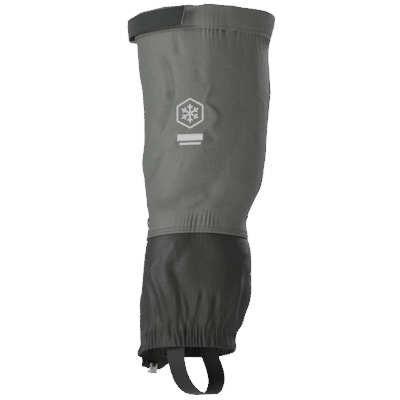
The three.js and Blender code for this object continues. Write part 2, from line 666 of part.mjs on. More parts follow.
function addBuckle() {
  const half = BUCKLE_LENGTH / 2;
  const bottom = BUCKLE_FLOOR - BUCKLE_BASE;
  const top = bottom + BUCKLE_HEIGHT;
  const wide = BUCKLE_HALF_WIDTH;
  const base = boxBetween([bottom, -half, -wide], [BUCKLE_FLOOR, half - BUCKLE_BAR - BUCKLE_SLOT, wide]);
  const bar = boxBetween([bottom, half - BUCKLE_BAR, -wide], [BUCKLE_FLOOR, half, wide]);
  const walls = [-1, 1].map((side) => {
    const faces = [side * wide, side * (wide - BUCKLE_WALL)].sort((a, b) => a - b);
    return boxBetween([bottom, -half, faces[0]], [top, half, faces[1]]);
  });
  const hole = barAlongZ(CAM_PIN_RADIUS + CLEARANCE, (wide + CUT_MARGIN) * 2, CAM_HEIGHT);
  const place = buckleGroup();
  add('buckle_frame', cut(join(base, bar, ...walls), hole), COLOURS.plastic, { parent: place });
  const pin = barAlongZ(CAM_PIN_RADIUS, wide * 2, CAM_HEIGHT);
  add('cam_pin', pin, COLOURS.steel, { metalness: 1, roughness: 0.3, parent: place });
  const camHalf = wide - BUCKLE_WALL - CLEARANCE;
  const drum = barAlongZ(CAM_RADIUS, camHalf * 2, CAM_HEIGHT);
  const leverLow = CAM_HEIGHT + CAM_RADIUS - CAM_LEVER_THICKNESS;
  const lever = boxBetween([leverLow, 0, -camHalf], [CAM_HEIGHT + CAM_RADIUS, CAM_LEVER_LENGTH, camHalf]);
  add('cam_lever', cut(join(drum, lever), hole), COLOURS.plastic, { parent: place });
}

/** The tab: one end round the buckle's bar, the other sewn flat on the cuff under the buckle. */
function addBuckleTab() {
  const seat = CASING_OUTER + STRAP_SEAT;
  const points = TAB_SEWN_ANGLES.map((angle) => cuffPoint(angle, seat));
  add('buckle_tab', ribbon(points, CUFF_STRAP_WIDTH, FABRIC), COLOURS.webbing, { parent: strapGroup });
}

// ---------------------------------------------------------------- instep strap

function addInstepStrap() {
  const seat = CASING_INNER - CLEARANCE;
  const ends = [INSTEP_OUTER_ANGLE, INSTEP_INNER_ANGLE].map((angle) => {
    const half = THREE.MathUtils.radToDeg(INSTEP_WIDTH / 2 / wallPoint(angle, 0).length());
    return { from: angle - half, to: angle + half, low: CLEARANCE, high: INSTEP_SEWN_HEIGHT };
  });
  const faces = { outer: seat, inner: seat - WEBBING };
  add('instep_anchor_outer', wallPatch({ ...ends[0], ...faces }), COLOURS.webbing);
  add('instep_anchor_inner', wallPatch({ ...ends[1], ...faces }), COLOURS.webbing);

  const outerEnd = wallPoint(INSTEP_OUTER_ANGLE, 0, seat - INSTEP_INSET);
  const innerEnd = wallPoint(INSTEP_INNER_ANGLE, 0, seat - INSTEP_INSET);
  const place = new THREE.Group();
  place.position.copy(outerEnd).add(innerEnd).multiplyScalar(0.5);
  const across = new THREE.Vector3().subVectors(innerEnd, outerEnd);
  place.rotation.z = Math.atan2(across.y, across.x);
  group.add(place);

  const halfSpan = across.length() / 2;
  const radius = INSTEP_WIDTH / 2;
  const pivot = -(radius + CLEARANCE * 2);
  const bottom = -INSTEP_DEPTH;
  const loop = (inset) => {
    const side = halfSpan - inset;
    const low = bottom + inset;
    const path = new THREE.Path();
    path.moveTo(-side, 0);
    path.lineTo(-side, pivot);
    const flat = INSTEP_FLAT / 2;
    path.bezierCurveTo(-side, low * INSTEP_BEND, -side * INSTEP_BEND, low, -flat, low);
    path.lineTo(flat, low);
    path.bezierCurveTo(side * INSTEP_BEND, low, side, low * INSTEP_BEND, side, pivot);
    path.lineTo(side, 0);
    return path.getPoints(INSTEP_FACETS);
  };
  const outline = [...loop(0), ...loop(WEBBING).reverse()].map((point) => [point.x, point.y]);
  const strap = slab(outline, INSTEP_WIDTH).rotateX(Math.PI / 2);
  const round = new THREE.Shape();
  round.moveTo(-radius, bottom - CUT_MARGIN);
  round.lineTo(radius, bottom - CUT_MARGIN);
  round.lineTo(radius, pivot);
  round.absarc(0, pivot, radius, 0, Math.PI, false);
  const reach = halfSpan + CUT_MARGIN;
  const options = { depth: reach * 2, bevelEnabled: false, curveSegments: ROUND_FACETS };
  const envelope = new THREE.ExtrudeGeometry(round, options).translate(0, 0, -reach);
  envelope.rotateX(Math.PI / 2).rotateZ(Math.PI / 2);
  const shape = geometryOf(solidOf(strap).intersect(solidOf(envelope)));
  add('instep_strap', shape, COLOURS.webbing, { parent: place });
}

// ---------------------------------------------------------------- the gaiter

addUpperPanels();
addLowerPanels();
addCuff();
addHem();
addAnkleElastics();
addBackSeamTapes();
addFlap();
addTapes();
addSnap();
addLaceTab();
addHookKeeper();
addLaceHook();
addStrapTail();
addCuffStrap();
addBuckle();
addBuckleTab();
addInstepStrap();

export default group;
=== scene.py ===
import math

import bmesh
import bpy
import numpy as np
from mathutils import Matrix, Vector


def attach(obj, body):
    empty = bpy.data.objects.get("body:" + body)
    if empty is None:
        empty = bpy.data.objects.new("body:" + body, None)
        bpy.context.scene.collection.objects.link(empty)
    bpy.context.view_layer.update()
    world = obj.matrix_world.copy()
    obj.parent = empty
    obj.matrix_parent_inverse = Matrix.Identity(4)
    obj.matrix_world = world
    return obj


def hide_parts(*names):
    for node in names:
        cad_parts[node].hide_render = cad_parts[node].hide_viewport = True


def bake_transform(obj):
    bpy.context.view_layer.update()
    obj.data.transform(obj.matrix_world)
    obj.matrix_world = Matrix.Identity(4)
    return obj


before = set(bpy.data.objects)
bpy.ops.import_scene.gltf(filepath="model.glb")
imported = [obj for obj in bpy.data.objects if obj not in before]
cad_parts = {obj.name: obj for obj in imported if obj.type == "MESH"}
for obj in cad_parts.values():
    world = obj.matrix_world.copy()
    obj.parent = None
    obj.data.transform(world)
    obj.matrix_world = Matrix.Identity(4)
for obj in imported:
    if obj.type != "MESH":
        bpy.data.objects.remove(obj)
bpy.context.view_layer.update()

# Sizes are in millimetres and angles in degrees, as in the part's own source. Meshes are in metres.
MM = 0.001

# ---- the tube's sizes

FABRIC = 1.2
LEG_HEIGHT = 403.5
RIM_ARCH = 9.3
RIM_ARCH_SHARE = 0.52  # how much of the arch the cloth's own rim shows
RIM_END_LIFT = 2.2  # how far its ends stand up at the front and back
SEAM_SAG = 3.0  # how far the ankle seam hangs at the front and back
CUFF_HEIGHT = 29
SEAM_HEIGHT = 138
HEM_CASING_HEIGHT = 16
SECTION_EXPONENT = 2.3

# height, then how far the cloth lies from the axis in front, behind and across
SECTIONS = np.array([
    (0, 66, 48, 46),
    (22, 66.5, 47, 45.5),
    (62, 66, 65.5, 53),
    (112, 62.5, 66, 52.5),
    (SEAM_HEIGHT, 58.5, 62.5, 50),
    (SEAM_HEIGHT + 22, 56.5, 60.5, 50),
    (SEAM_HEIGHT + 67, 61.5, 78, 57),
    (LEG_HEIGHT - 103.5, 63.5, 87.5, 62),
    (LEG_HEIGHT - 31, 71, 86.5, 62.5),
    (LEG_HEIGHT + RIM_ARCH, 73, 95, 63),
], float)

FLAP_HINGE_ANGLE = 216
FLAP_EDGE_ANGLE = 162
UNDERLAP_END_ANGLE = 207
UNDERLAP_DEPTH = 4.1
UNDERLAP_RAMP = 9  # degrees in which the inner side dips under the flap
BACK_GAP = 0.2  # degrees from each side's cloth to the back seam
FLAP_DROP = 5
CUFF_FRONT_ANGLE = 171
TAB_START_ANGLE = 117
TAB_CORNER_ANGLE = 132
TAB_END_ANGLE = 189

CLOTH = 0.7  # thickness of the cloth that shows
COLUMN = 0.9  # degrees between the cloth's columns
ROW = 1.5  # millimetres between its rows

# ---- the tube's shape


def measures(height):
    """Front, back and depth of the tube at heights: a smooth curve through the SECTIONS."""
    z = np.clip(height, SECTIONS[0, 0], SECTIONS[-1, 0])
    i = np.clip(np.searchsorted(SECTIONS[:, 0], z) - 1, 0, len(SECTIONS) - 2)
    before = np.maximum(np.arange(len(SECTIONS)) - 1, 0)
    after = np.minimum(np.arange(len(SECTIONS)) + 1, len(SECTIONS) - 1)
    rises = SECTIONS[after, 1:] - SECTIONS[before, 1:]
    slopes = rises / (SECTIONS[after, 0] - SECTIONS[before, 0])[:, None]
    low, high = SECTIONS[i], SECTIONS[i + 1]
    span = (high[..., 0] - low[..., 0])[..., None]
    t = ((z - low[..., 0]) / span[..., 0])[..., None]
    rise = high[..., 1:] - low[..., 1:]
    start = slopes[i] * span - rise
    end = rise - slopes[i + 1] * span
    return low[..., 1:] + rise * t + t * (1 - t) * (start * (1 - t) + end * t)


def sine(angle):
    return np.sin(np.radians(angle))


def cosine(angle):
    return np.cos(np.radians(angle))


def wall(angle, height, offset=0.0):
    """Points on the tube's outer face, moved outwards by offset."""
    angle, height, offset = np.broadcast_arrays(
        np.asarray(angle, float), np.asarray(height, float), np.asarray(offset, float)
    )
    front, back, depth = np.moveaxis(measures(height), -1, 0)
    length = (front + back) / 2
    cos, sin = cosine(angle), sine(angle)
    n = SECTION_EXPONENT
    radius = (np.abs(cos / length) ** n + np.abs(sin / depth) ** n) ** (-1 / n)
    x, y = radius * cos, radius * sin
    across = np.sign(x) * np.abs(x / length) ** (n - 1) / length
    along = np.sign(y) * np.abs(y / depth) ** (n - 1) / depth
    size = np.hypot(across, along)
    return np.stack([
        (back - front) / 2 + x + offset * across / size,
        y + offset * along / size,
        height,
    ], -1)


def rim_height(angle):
    return LEG_HEIGHT + RIM_END_LIFT + RIM_ARCH * RIM_ARCH_SHARE * sine(angle) ** 2


def cuff_bottom(angle):
    return rim_height(angle) - CUFF_HEIGHT


def sagged(angle, height):
    """Where a height of the cloth comes to lie: the ankle seam hangs lower at the front and back."""
    return height - SEAM_SAG * cosine(angle) ** 2 * bump(height, SEAM_HEIGHT, 32)


def smooth_step(value, low, high):
    t = np.clip((value - low) / (high - low), 0, 1)
    return t * t * (3 - 2 * t)


def fall(distance, reach):
    """1 where a distance is nothing or less, and less and less beyond."""
    return np.exp(-np.maximum(distance, 0) / reach)


def turn_from(angle, middle):
    """How many degrees an angle lies from the middle, the short way round."""
    return np.abs((np.asarray(angle, float) - middle + 180) % 360 - 180)


def bump(value, middle, width):
    """1 at the middle, falling smoothly to about nothing two widths away."""
    return np.exp(-(((value - middle) / width) ** 2))


# ---- folds, gathers and creases

MEAN_RADIUS = 66.0  # turns an angle into a distance round the leg


def random_field(angle, height, wavelength, seed, tilt=None, count=18):
    """A smooth random field round the tube, of about unit size. tilt is the waves' mean direction."""
    rng = np.random.default_rng(seed)
    total = np.zeros(np.broadcast(angle, height).shape)
    for _ in range(count):
        turn = rng.uniform(0, math.pi) if tilt is None else rng.normal(math.radians(tilt), 0.45)
        size = 2 * math.pi / wavelength * rng.uniform(0.7, 1.35)
        around = round(size * math.cos(turn) * MEAN_RADIUS)
        up = size * math.sin(turn)
        total += np.cos(around * np.radians(angle) + up * height + rng.uniform(0, 2 * math.pi))
    return total / math.sqrt(count / 2)


def creases(field, width):
    """Sharp ridges where a field passes through nothing."""
    return np.exp(-np.abs(field) / width)


def roof(away, width):
    """A ridge's profile: straight sides that meet in a slightly rounded top."""
    return np.clip(1 - np.sqrt((away / width) ** 2 + 0.004), 0, 1)


def long_fold(x, z, line, left, right, height, rounded=False):
    """A ridge, or a valley if height is negative, along a line that runs down the leg."""
    line = smooth_path(line)[::-1]
    away = x - np.interp(z, line[:, 1], line[:, 0])
    width = np.where(away < 0, left, right)
    profile = bump(away, 0, width * 0.6) if rounded else roof(away, width)
    low, high = line[0, 1], line[-1, 1]
    fade = smooth_step(z, low - 9, low + 9) * (1 - smooth_step(z, high - 9, high + 9))
    return height * profile * fade


def short_fold(x, z, start, end, width, height, sharp=False):
    """A ridge or a valley along a straight line that may lie at any slant."""
    start, end = np.array(start, float), np.array(end, float)
    along = end - start
    length = np.hypot(*along)
    along /= length
    dx, dz = x - start[0], z - start[1]
    away = dx * along[1] - dz * along[0]
    share = (dx * along[0] + dz * along[1]) / length
    ends = smooth_step(share, -0.12, 0.2) * (1 - smooth_step(share, 0.8, 1.12))
    return height * (roof(away, width) if sharp else bump(away, 0, width)) * ends


# Folds on the leg's outer side: a line of (x, height) from its top down, the widths of its two
# flanks, and its height.
OUTER_UPPER_RIDGES = [
    ([(17, 400), (15, 330), (9, 298), (20, 272), (2, 232), (-13, 203), (-30, 172)], 56, 40, 8.0),
    ([(-28, 308), (-31, 290), (-36, 275), (-43, 260)], 8, 5, -3.2),
    ([(-52, 274), (-56, 254), (-60, 238)], 5, 6, 1.8),
    ([(-41, 230), (-48, 216), (-58, 196)], 6, 6, -3.0),
    ([(-24, 380), (-22, 366), (-19, 352)], 9, 7, -2.4, True),
    ([(-37, 344), (-31, 326), (-29, 306)], 11, 6, -3.4, True),
    ([(10, 290), (21, 283), (26, 273), (18, 260)], 9, 5, 2.3),
    ([(4, 352), (2, 334), (6, 316)], 10, 10, -1.2, True),
    ([(70, 360), (74, 300), (72, 240)], 9, 9, 0.8, True),
]
OUTER_UPPER_FOLDS = [
    ((-16, 166), (14, 182), 5, 1.8),
    ((10, 181), (70, 199), 8, 2.0),
    ((-26, 176), (24, 190), 7, -2.4),
    ((26, 168), (58, 176), 6, -1.0),
    ((-33, 308), (-25, 294), 4, -1.7),
    ((19, 313), (11, 294), 4, 1.3, True),
    ((-22, 300), (-26, 288), 4, 1.0, True),
    ((12, 258), (22, 244), 5, -1.4),
    ((-18, 256), (-30, 236), 5, 1.1),
    ((-52, 172), (-46, 150), 5, 0.8),
]
OUTER_LOWER_RIDGES = [
    ([(-1, 142), (-9, 119), (-30, 98), (-20, 75), (-7, 50), (-5, 28)], 10, 19, -3.0, True),
    ([(-16, 140), (-28, 122), (-40, 98), (-32, 70), (-24, 28)], 16, 12, 1.8, True),
    ([(-50, 104), (-54, 91), (-38, 51), (-36, 20)], 9, 6, 3.4),
    ([(-62, 96), (-50, 66), (-43, 30)], 6, 5, -3.0),
    ([(-22, 70), (-17, 48), (-14, 24)], 5, 4, -2.4),
    ([(8, 66), (4, 40), (2, 22)], 5, 4, -2.8),
    ([(14, 58), (13, 28)], 5, 6, 1.8),
    ([(24, 60), (22, 26)], 5, 5, -2.4),
    ([(52, 80), (46, 52), (40, 24)], 7, 10, 2.2),
    ([(62, 92), (57, 62), (48, 28)], 6, 9, -3.4),
    ([(26, 134), (34, 90), (30, 60)], 22, 16, 1.8, True),
]
OUTER_LOWER_FOLDS = [
    ((-30, 134), (-24, 112), 5, 1.0),
    ((44, 130), (56, 110), 7, 1.0),
]


def pleats(angle, height, count, seed):
    """Uneven rounded pleats with narrow valleys between them, about count round the leg."""
    warp = 2.4 * random_field(angle, height * 0.3, 48, seed)
    phase = np.radians(angle + warp) * count / 2
    puff = np.abs(np.sin(phase)) ** 0.7
    size = 0.8 + 0.35 * random_field(angle, height * 0.25, 34, seed + 1)
    return (puff - 0.6) * size


def side_folds(angle, height, ridges, folds):
    """The chosen folds, only on the leg's outer side."""
    point = wall(angle, height)
    x, side = point[..., 0], smooth_step(-point[..., 1], 4, 24)
    total = sum(long_fold(x, height, *ridge) for ridge in ridges)
    total = total + sum(short_fold(x, height, *fold) for fold in folds)
    return total * side


def inner_side(angle):
    """1 on the leg's inner side, whose folds aren't chosen one by one."""
    return smooth_step(sine(angle), -0.25, 0.1)


def seam_relief(angle):
    """Where both cloths lie at the ankle seam."""
    return 0.9 * random_field(angle, 0, 42, 19) + 0.7 * pleats(angle, 0, 56, 8) * ankle_share(angle)


def rim_relief(angle):
    """Where both layers of cloth lie at the cuff's lower edge."""
    soft = 0.7 * random_field(angle, 0, 44, 13)
    ridge = long_fold(wall(angle, 380)[..., 0], 380, OUTER_UPPER_RIDGES[0][0], 52, 38, 4.5)
    return soft + ridge * smooth_step(-sine(angle), 0, 0.3)


def upper_relief(angle, height):
    """How the grey cloth stands in or out from the plain tube."""
    soft = 0.8 * random_field(angle, height * 0.7, 60, 11)
    long_creases = creases(random_field(angle, height, 70, 23, tilt=20), 0.3)
    cross_creases = creases(random_field(angle, height, 52, 37, tilt=-28), 0.26)
    patches = smooth_step(random_field(angle, height, 90, 41), -0.4, 0.9)
    free = soft + 1.2 * long_creases * patches + 0.9 * cross_creases * (1 - patches)
    free = free * (0.38 + 0.62 * inner_side(angle))
    far_side = smooth_step(sine(angle), 0.2, 0.65)
    broad = 2.6 * random_field(angle, height * 0.8, 120, 29, count=8) * far_side
    broad = broad + 3.4 * bump(height, 227, 15) * bump(np.asarray(angle, float) % 360, 190, 24)
    free = free + broad + side_folds(angle, height, OUTER_UPPER_RIDGES, OUTER_UPPER_FOLDS)
    below_cuff = fall(cuff_bottom(angle) - height, 14)
    above_seam = fall(height - SEAM_HEIGHT, 10)
    relief = free * (1 - below_cuff) * (1 - above_seam)
    relief = relief + rim_relief(angle) * below_cuff + seam_relief(angle) * above_seam
    near_cuff = fall(cuff_bottom(angle) - height, 8)
    relief = relief + 2.9 * near_cuff * pleats(angle, height, 66, 5) * elastic_share(angle)
    at_elastic = bump(height, SEAM_HEIGHT + 13, 9) * ankle_share(angle)
    return relief + 2.2 * at_elastic * pleats(angle, height * 1.5, 64, 8)


def lower_relief(angle, height):
    """How the black cloth stands in or out from the plain tube."""
    soft = 0.9 * random_field(angle, height * 0.6, 55, 71)
    long_creases = creases(random_field(angle, height, 50, 83, tilt=14), 0.28)
    patches = smooth_step(random_field(angle, height, 70, 87), -0.3, 0.8)
    free = (soft + 1.4 * long_creases * patches) * (0.4 + 0.6 * inner_side(angle))
    free = free + side_folds(angle, height, OUTER_LOWER_RIDGES, OUTER_LOWER_FOLDS)
    above_band = height - HEM_CASING_HEIGHT - 3
    fans = fall(above_band, 16) * smooth_step(height, 4, 18)
    band = fall(above_band, 5) * smooth_step(height, -5, 5)
    below_seam = fall(SEAM_HEIGHT - height, 9)
    relief = free * (1 - 0.8 * fall(above_band, 10)) * (1 - below_seam)
    relief = relief + 2.7 * fans * pleats(angle, height, 34, 91)
    relief = relief + 3.1 * band * pleats(angle, height, 60, 95)
    relief = relief + 4.0 * bump(height, 33, 11) * bump(turn_from(angle, 0), 0, 30)
    flap_end = smooth_step(angle, 150, 175) * (1 - smooth_step(angle, 205, 225)) * bump(height, -3, 7)
    return relief + seam_relief(angle) * below_seam + 5.0 * flap_end


def elastic_share(angle):
    """1 where the cuff's elastic gathers the cloth and 0.25 elsewhere."""
    return 0.25 + 0.75 * (1 - smooth_step(turn_from(angle, 0), 78, 110))


def ankle_share(angle):
    """1 over the two ankle elastics and little elsewhere."""
    outer = bump(np.asarray(angle, float) % 360, 274, 24)
    inner = bump(np.asarray(angle, float) % 360, 86, 26)
    return 0.08 + 0.92 * (outer + inner)


# ---- mesh building


def unit(vectors):
    return vectors / np.maximum(np.linalg.norm(vectors, axis=-1, keepdims=True), 1e-12)


def travelled(points, axis=0):
    """How far each point lies along its path, from 0 at the first."""
    steps = np.linalg.norm(np.diff(points, axis=axis), axis=-1)
    return np.concatenate([np.zeros_like(np.take(steps, [0], axis)), np.cumsum(steps, axis)], axis)


def read_off(place, along, values):
    """A path's points or directions at a place along it."""
    return np.stack([np.interp(place, along, values[:, k]) for k in range(3)], -1)


def link(name, data):
    """An object in the scene that shows the data."""
    obj = bpy.data.objects.new(name, data)
    bpy.context.collection.objects.link(obj)
    return obj


def new_object(name, vertices, faces, uvs=None, smooth=True):
    """A mesh object from points in metres. uvs holds one pair for each vertex."""
    mesh = bpy.data.meshes.new(name)
    mesh.from_pydata([tuple(v) for v in vertices], [], [tuple(f) for f in faces])
    mesh.validate()
    mesh.polygons.foreach_set("use_smooth", [smooth] * len(mesh.polygons))
    if uvs is not None:
        layer = mesh.uv_layers.new(name="cloth")
        loops = np.empty(len(mesh.loops), int)
        mesh.loops.foreach_get("vertex_index", loops)
        layer.data.foreach_set("uv", np.asarray(uvs, float)[loops].ravel())
    return link(name, mesh)


def grid_faces(rows, columns, start=0, flip=False):
    """Quads between the points of a grid, as an array of vertex numbers."""
    index = start + np.arange(rows * columns).reshape(rows, columns)
    quads = np.stack([index[:-1, :-1], index[:-1, 1:], index[1:, 1:], index[1:, :-1]], -1)
    quads = quads.reshape(-1, 4)
    return quads[:, ::-1] if flip else quads


def cloth_from_grid(name, points, thickness=CLOTH):
    """A closed sheet with a real thickness from a grid in millimetres, whose normals point outwards."""
    rows, columns = points.shape[:2]
    normals = unit(np.cross(np.gradient(points, axis=1), np.gradient(points, axis=0)))
    inner = points - normals * thickness
    count = rows * columns
    faces = [grid_faces(rows, columns), grid_faces(rows, columns, count, flip=True)]
    index = np.arange(count).reshape(rows, columns)
    border = np.concatenate([index[0, :-1], index[:-1, -1], index[-1, :0:-1], index[:0:-1, 0]])
    following = np.roll(border, -1)
    faces.append(np.stack([following, border, border + count, following + count], -1))
    around = np.broadcast_to(travelled(points, 1).mean(0), (rows, columns))
    up = np.broadcast_to(travelled(points, 0).mean(1)[:, None], (rows, columns))
    uv = np.stack([around, up], -1).reshape(-1, 2) * MM
    vertices = np.concatenate([points.reshape(-1, 3), inner.reshape(-1, 3)]) * MM
    return new_object(name, vertices, np.concatenate(faces), np.concatenate([uv, uv]))


def follow(points, count):
    """The same path with count evenly spaced points."""
    points = np.asarray(points, float)
    along = travelled(points)
    return read_off(np.linspace(0, along[-1], count), along, points)


def smooth_path(points, rounds=3):
    """Corner cutting: a smooth path through the neighbourhood of its points, with the ends kept."""
    points = np.asarray(points, float)
    for _ in range(rounds):
        near = 0.75 * points[:-1] + 0.25 * points[1:]
        far = 0.25 * points[:-1] + 0.75 * points[1:]
        middle = np.stack([near, far], 1).reshape(-1, points.shape[1])
        points = np.concatenate([points[:1], middle, points[-1:]])
    return points


def webbing(name, path, width_way, width, thickness=1.6, rows=140, slant=0.0, spread_out=0.0):
    """A flat woven strap along a path, with thicker selvedges.

    slant is how much shorter its lower edge is, and spread_out how much wider it gets past its
    first third.
    """
    path = follow(path, rows)
    along = unit(np.gradient(path, axis=0))
    ways = np.broadcast_to(np.asarray(width_way, float), path.shape)
    ways = unit(ways - along * (ways * along).sum(1, keepdims=True))
    out = np.cross(ways, along)
    half, thick = width / 2, thickness / 2
    bevel = thick * 0.8
    across = np.linspace(-half + bevel, half - bevel, 17)
    swell = thick * (0.86 + 0.14 * bump(np.abs(across), half - bevel - 0.6, 0.8))
    front = list(zip(across, swell))
    back = list(zip(across[::-1], -swell[::-1]))
    edge = [(half, 0.45 * thick), (half, -0.45 * thick)]
    section = np.array(front + edge + back + [(-a, -b) for a, b in edge])
    ring = len(section)
    lengths = travelled(path)
    share = np.linspace(0, 1, rows)[:, None]
    place = share * (lengths[-1] - slant * (0.5 - section[None, :, 0] / width))
    middle, sideways, outwards = (read_off(place, lengths, values) for values in (path, ways, out))
    wider = (1 + spread_out * smooth_step(share, 0.12, 0.34))[:, :, None]
    points = middle + section[None, :, :1] * wider * sideways + section[None, :, 1:] * outwards
    index = np.arange(rows * ring).reshape(rows, ring)
    after = np.roll(index, -1, axis=1)
    quads = np.stack([index[:-1], index[1:], after[1:], after[:-1]], -1).reshape(-1, 4)
    faces = quads[:, ::-1].tolist()
    for row, flip in ((index[0], False), (index[-1], True)):
        faces.extend(strap_end(row.tolist(), len(across), flip))
    v = np.broadcast_to(section[:, 0], (rows, ring))
    uv = np.stack([place, v], -1).reshape(-1, 2) * MM
    return new_object(name, points.reshape(-1, 3) * MM, faces, uv)


def strap_end(row, across, flip):
    """Quads that close a strap's end between its front and its back."""
    front, back = row[:across], row[across + 2:2 * across + 2][::-1]
    quads = [[front[i], back[i], back[i + 1], front[i + 1]] for i in range(across - 1)]
    quads.append([front[-1], back[-1], row[across + 1], row[across]])
    quads.append([row[-1], row[-2], back[0], front[0]])
    return [q if flip else q[::-1] for q in quads]


def stitches(name, path, outward, pitch=3.4, length=2.4, radius=0.28):
    """A row of thread stitches that lie on a path in millimetres."""
    along = travelled(path)
    sides = 6
    turns = math.tau * np.arange(sides) / sides
    vertices, faces = [], []
    for start in np.arange(pitch / 2, along[-1] - length, pitch):
        base = len(vertices)
        for share, size, lift in ((0, 0.35, -0.30), (0.22, 1, 0.10), (0.78, 1, 0.10), (1, 0.35, -0.30)):
            at = start + share * length
            centre, out = read_off(at, along, path), read_off(at, along, outward)
            side = unit(np.cross(out, read_off(at + 0.5, along, path) - centre))
            out = unit(out)
            for turn in turns:
                up, across = radius * size * math.sin(turn), radius * size * math.cos(turn)
                vertices.append(centre + out * (lift + up) + side * across)
        for ring in range(3):
            for k in range(sides):
                a, b = base + ring * sides + k, base + ring * sides + (k + 1) % sides
                faces.append([a, b, b + sides, a + sides])
        faces.append([base + k for k in range(sides - 1, -1, -1)])
        faces.append([base + 3 * sides + k for k in range(sides)])
    return new_object(name, np.array(vertices) * MM, faces)


# ---- materials


class Look:
    """A new material, and short ways to wire up its shader."""

    def __init__(self, name, colour, roughness, metallic=0.0):
        self.material = bpy.data.materials.new(name)
        self.material.use_nodes = True
        self.tree = self.material.node_tree
        self.shader = self.tree.nodes["Principled BSDF"]
        self.roughness = roughness
        self.set({"Base Color": (*colour, 1), "Roughness": roughness, "Metallic": metallic})

    def feed(self, socket, value):
        """Sets a socket to a constant, or links another socket to it."""
        if isinstance(value, bpy.types.NodeSocket):
            self.tree.links.new(value, socket)
        else:
            socket.default_value = value

    def set(self, values):
        for key, value in values.items():
            self.feed(self.shader.inputs[key], value)

    def node(self, kind, values, **settings):
        node = self.tree.nodes.new(kind)
        for key, value in settings.items():
            setattr(node, key, value)
        for key, value in values.items():
            self.feed(node.inputs[key], value)
        return node

    def math(self, operation, *values):
        return self.node("ShaderNodeMath", dict(enumerate(values)), operation=operation).outputs[0]

    def coordinate(self, source):
        return self.node("ShaderNodeTexCoord", {}).outputs[source]

    def noise(self, scale, detail, stretch=None, source="Object"):
        place = self.coordinate(source)
        if stretch is not None:
            place = self.node("ShaderNodeMapping", {"Vector": place, "Scale": stretch}).outputs[0]
        values = {"Vector": place, "Scale": scale, "Detail": detail}
        return self.node("ShaderNodeTexNoise", values).outputs["Fac"]

    def ramp(self, factor, *stops):
        node = self.node("ShaderNodeValToRGB", {0: factor})
        elements = node.color_ramp.elements
        while len(elements) < len(stops):
            elements.new(0.5)
        for element, (place, colour) in zip(elements, stops):
            element.position = place
            element.color = (*colour, 1)
        return node.outputs[0]

    def mix(self, factor, first, second, blend="MIX"):
        second = (*second, 1) if isinstance(second, tuple) else second
        values = {0: factor, 6: first, 7: second}
        return self.node("ShaderNodeMix", values, data_type="RGBA", blend_type=blend).outputs[2]

    def pointed(self, low, high):
        """0 up to a low pointiness of the surface and 1 from a high one: hollows, or raised edges."""
        pointiness = self.node("ShaderNodeNewGeometry", {}).outputs["Pointiness"]
        values = {"Value": pointiness, "From Min": low, "From Max": high}
        return self.node("ShaderNodeMapRange", values, interpolation_type="SMOOTHSTEP").outputs[0]

    def vary_roughness(self, factor, below, above):
        values = {"Value": factor, "To Min": self.roughness - below, "To Max": self.roughness + above}
        self.set({"Roughness": self.node("ShaderNodeMapRange", values).outputs[0]})

    def bump(self, height, strength, distance):
        values = {"Height": height, "Strength": strength, "Distance": distance}
        self.set({"Normal": self.node("ShaderNodeBump", values).outputs[0]})

    def ridges(self, value, pitch):
        """Rounded ridges, one for each pitch of a value."""
        return self.math("ABSOLUTE", self.math("SINE", self.math("MULTIPLY", value, math.pi / pitch)))

    def weave(self, pitch):
        """The height of a plain weave: warp and weft threads that pass over each other in turn."""
        split = self.node("ShaderNodeSeparateXYZ", {0: self.coordinate("UV")})
        warp, weft = (self.ridges(split.outputs[k], pitch) for k in (0, 1))
        turns = (self.math("MULTIPLY", split.outputs[k], math.pi / pitch) for k in (0, 1))
        waves = (self.math("COSINE", turn) for turn in turns)
        which = self.math("GREATER_THAN", self.math("MULTIPLY", *waves), 0.0)
        rest = self.math("SUBTRACT", 1.0, which)
        return self.math("ADD", self.math("MULTIPLY", warp, which), self.math("MULTIPLY", weft, rest))


def tinted(colour, factor):
    return tuple(c * factor for c in colour)


def even(value):
    """A grey whose three shares are the same."""
    return (value, value, value)


def coated_cloth(name, dark, middle, light, roughness, sheen, pitch=0.0009):
    """Coated pack cloth: a fine weave of uneven yarn, with painted shade in its hollows, and rubbed on its
    folds.
    """
    look = Look(name, middle, roughness)
    weave = look.weave(pitch)
    yarn = look.math("ADD", *(look.noise(900, 2, stretch, "UV") for stretch in ((1, 0.06, 1), (0.06, 1, 1))))
    base = look.ramp(look.math("MULTIPLY", yarn, 0.5), (0.30, dark), (0.50, middle), (0.70, light))
    faded = look.mix(look.math("MULTIPLY", look.noise(14, 4), 0.2), base, light)
    woven = look.mix(0.7, faded, look.ramp(weave, (0.0, even(0.86)), (0.7, even(1))), "MULTIPLY")
    # painted shade: the hollows between folds and pleats are darkened in the colour, where shade falls
    painted_shade = look.ramp(look.pointed(0.43, 0.505), (0.0, even(0.45)), (1.0, even(1)))
    woven = look.mix(0.8, woven, painted_shade, "MULTIPLY")
    worn = look.math("MULTIPLY", look.pointed(0.515, 0.56), 0.35)
    look.set({"Base Color": look.mix(worn, woven, light), "Sheen Weight": sheen})
    look.set({"Sheen Roughness": 0.4, "Specular IOR Level": 0.28})
    look.vary_roughness(look.noise(55, 3), 0.07, 0.08)
    look.bump(look.math("ADD", look.math("MULTIPLY", weave, 0.12), look.noise(130, 4)), 0.35, 0.0011)
    return look.material


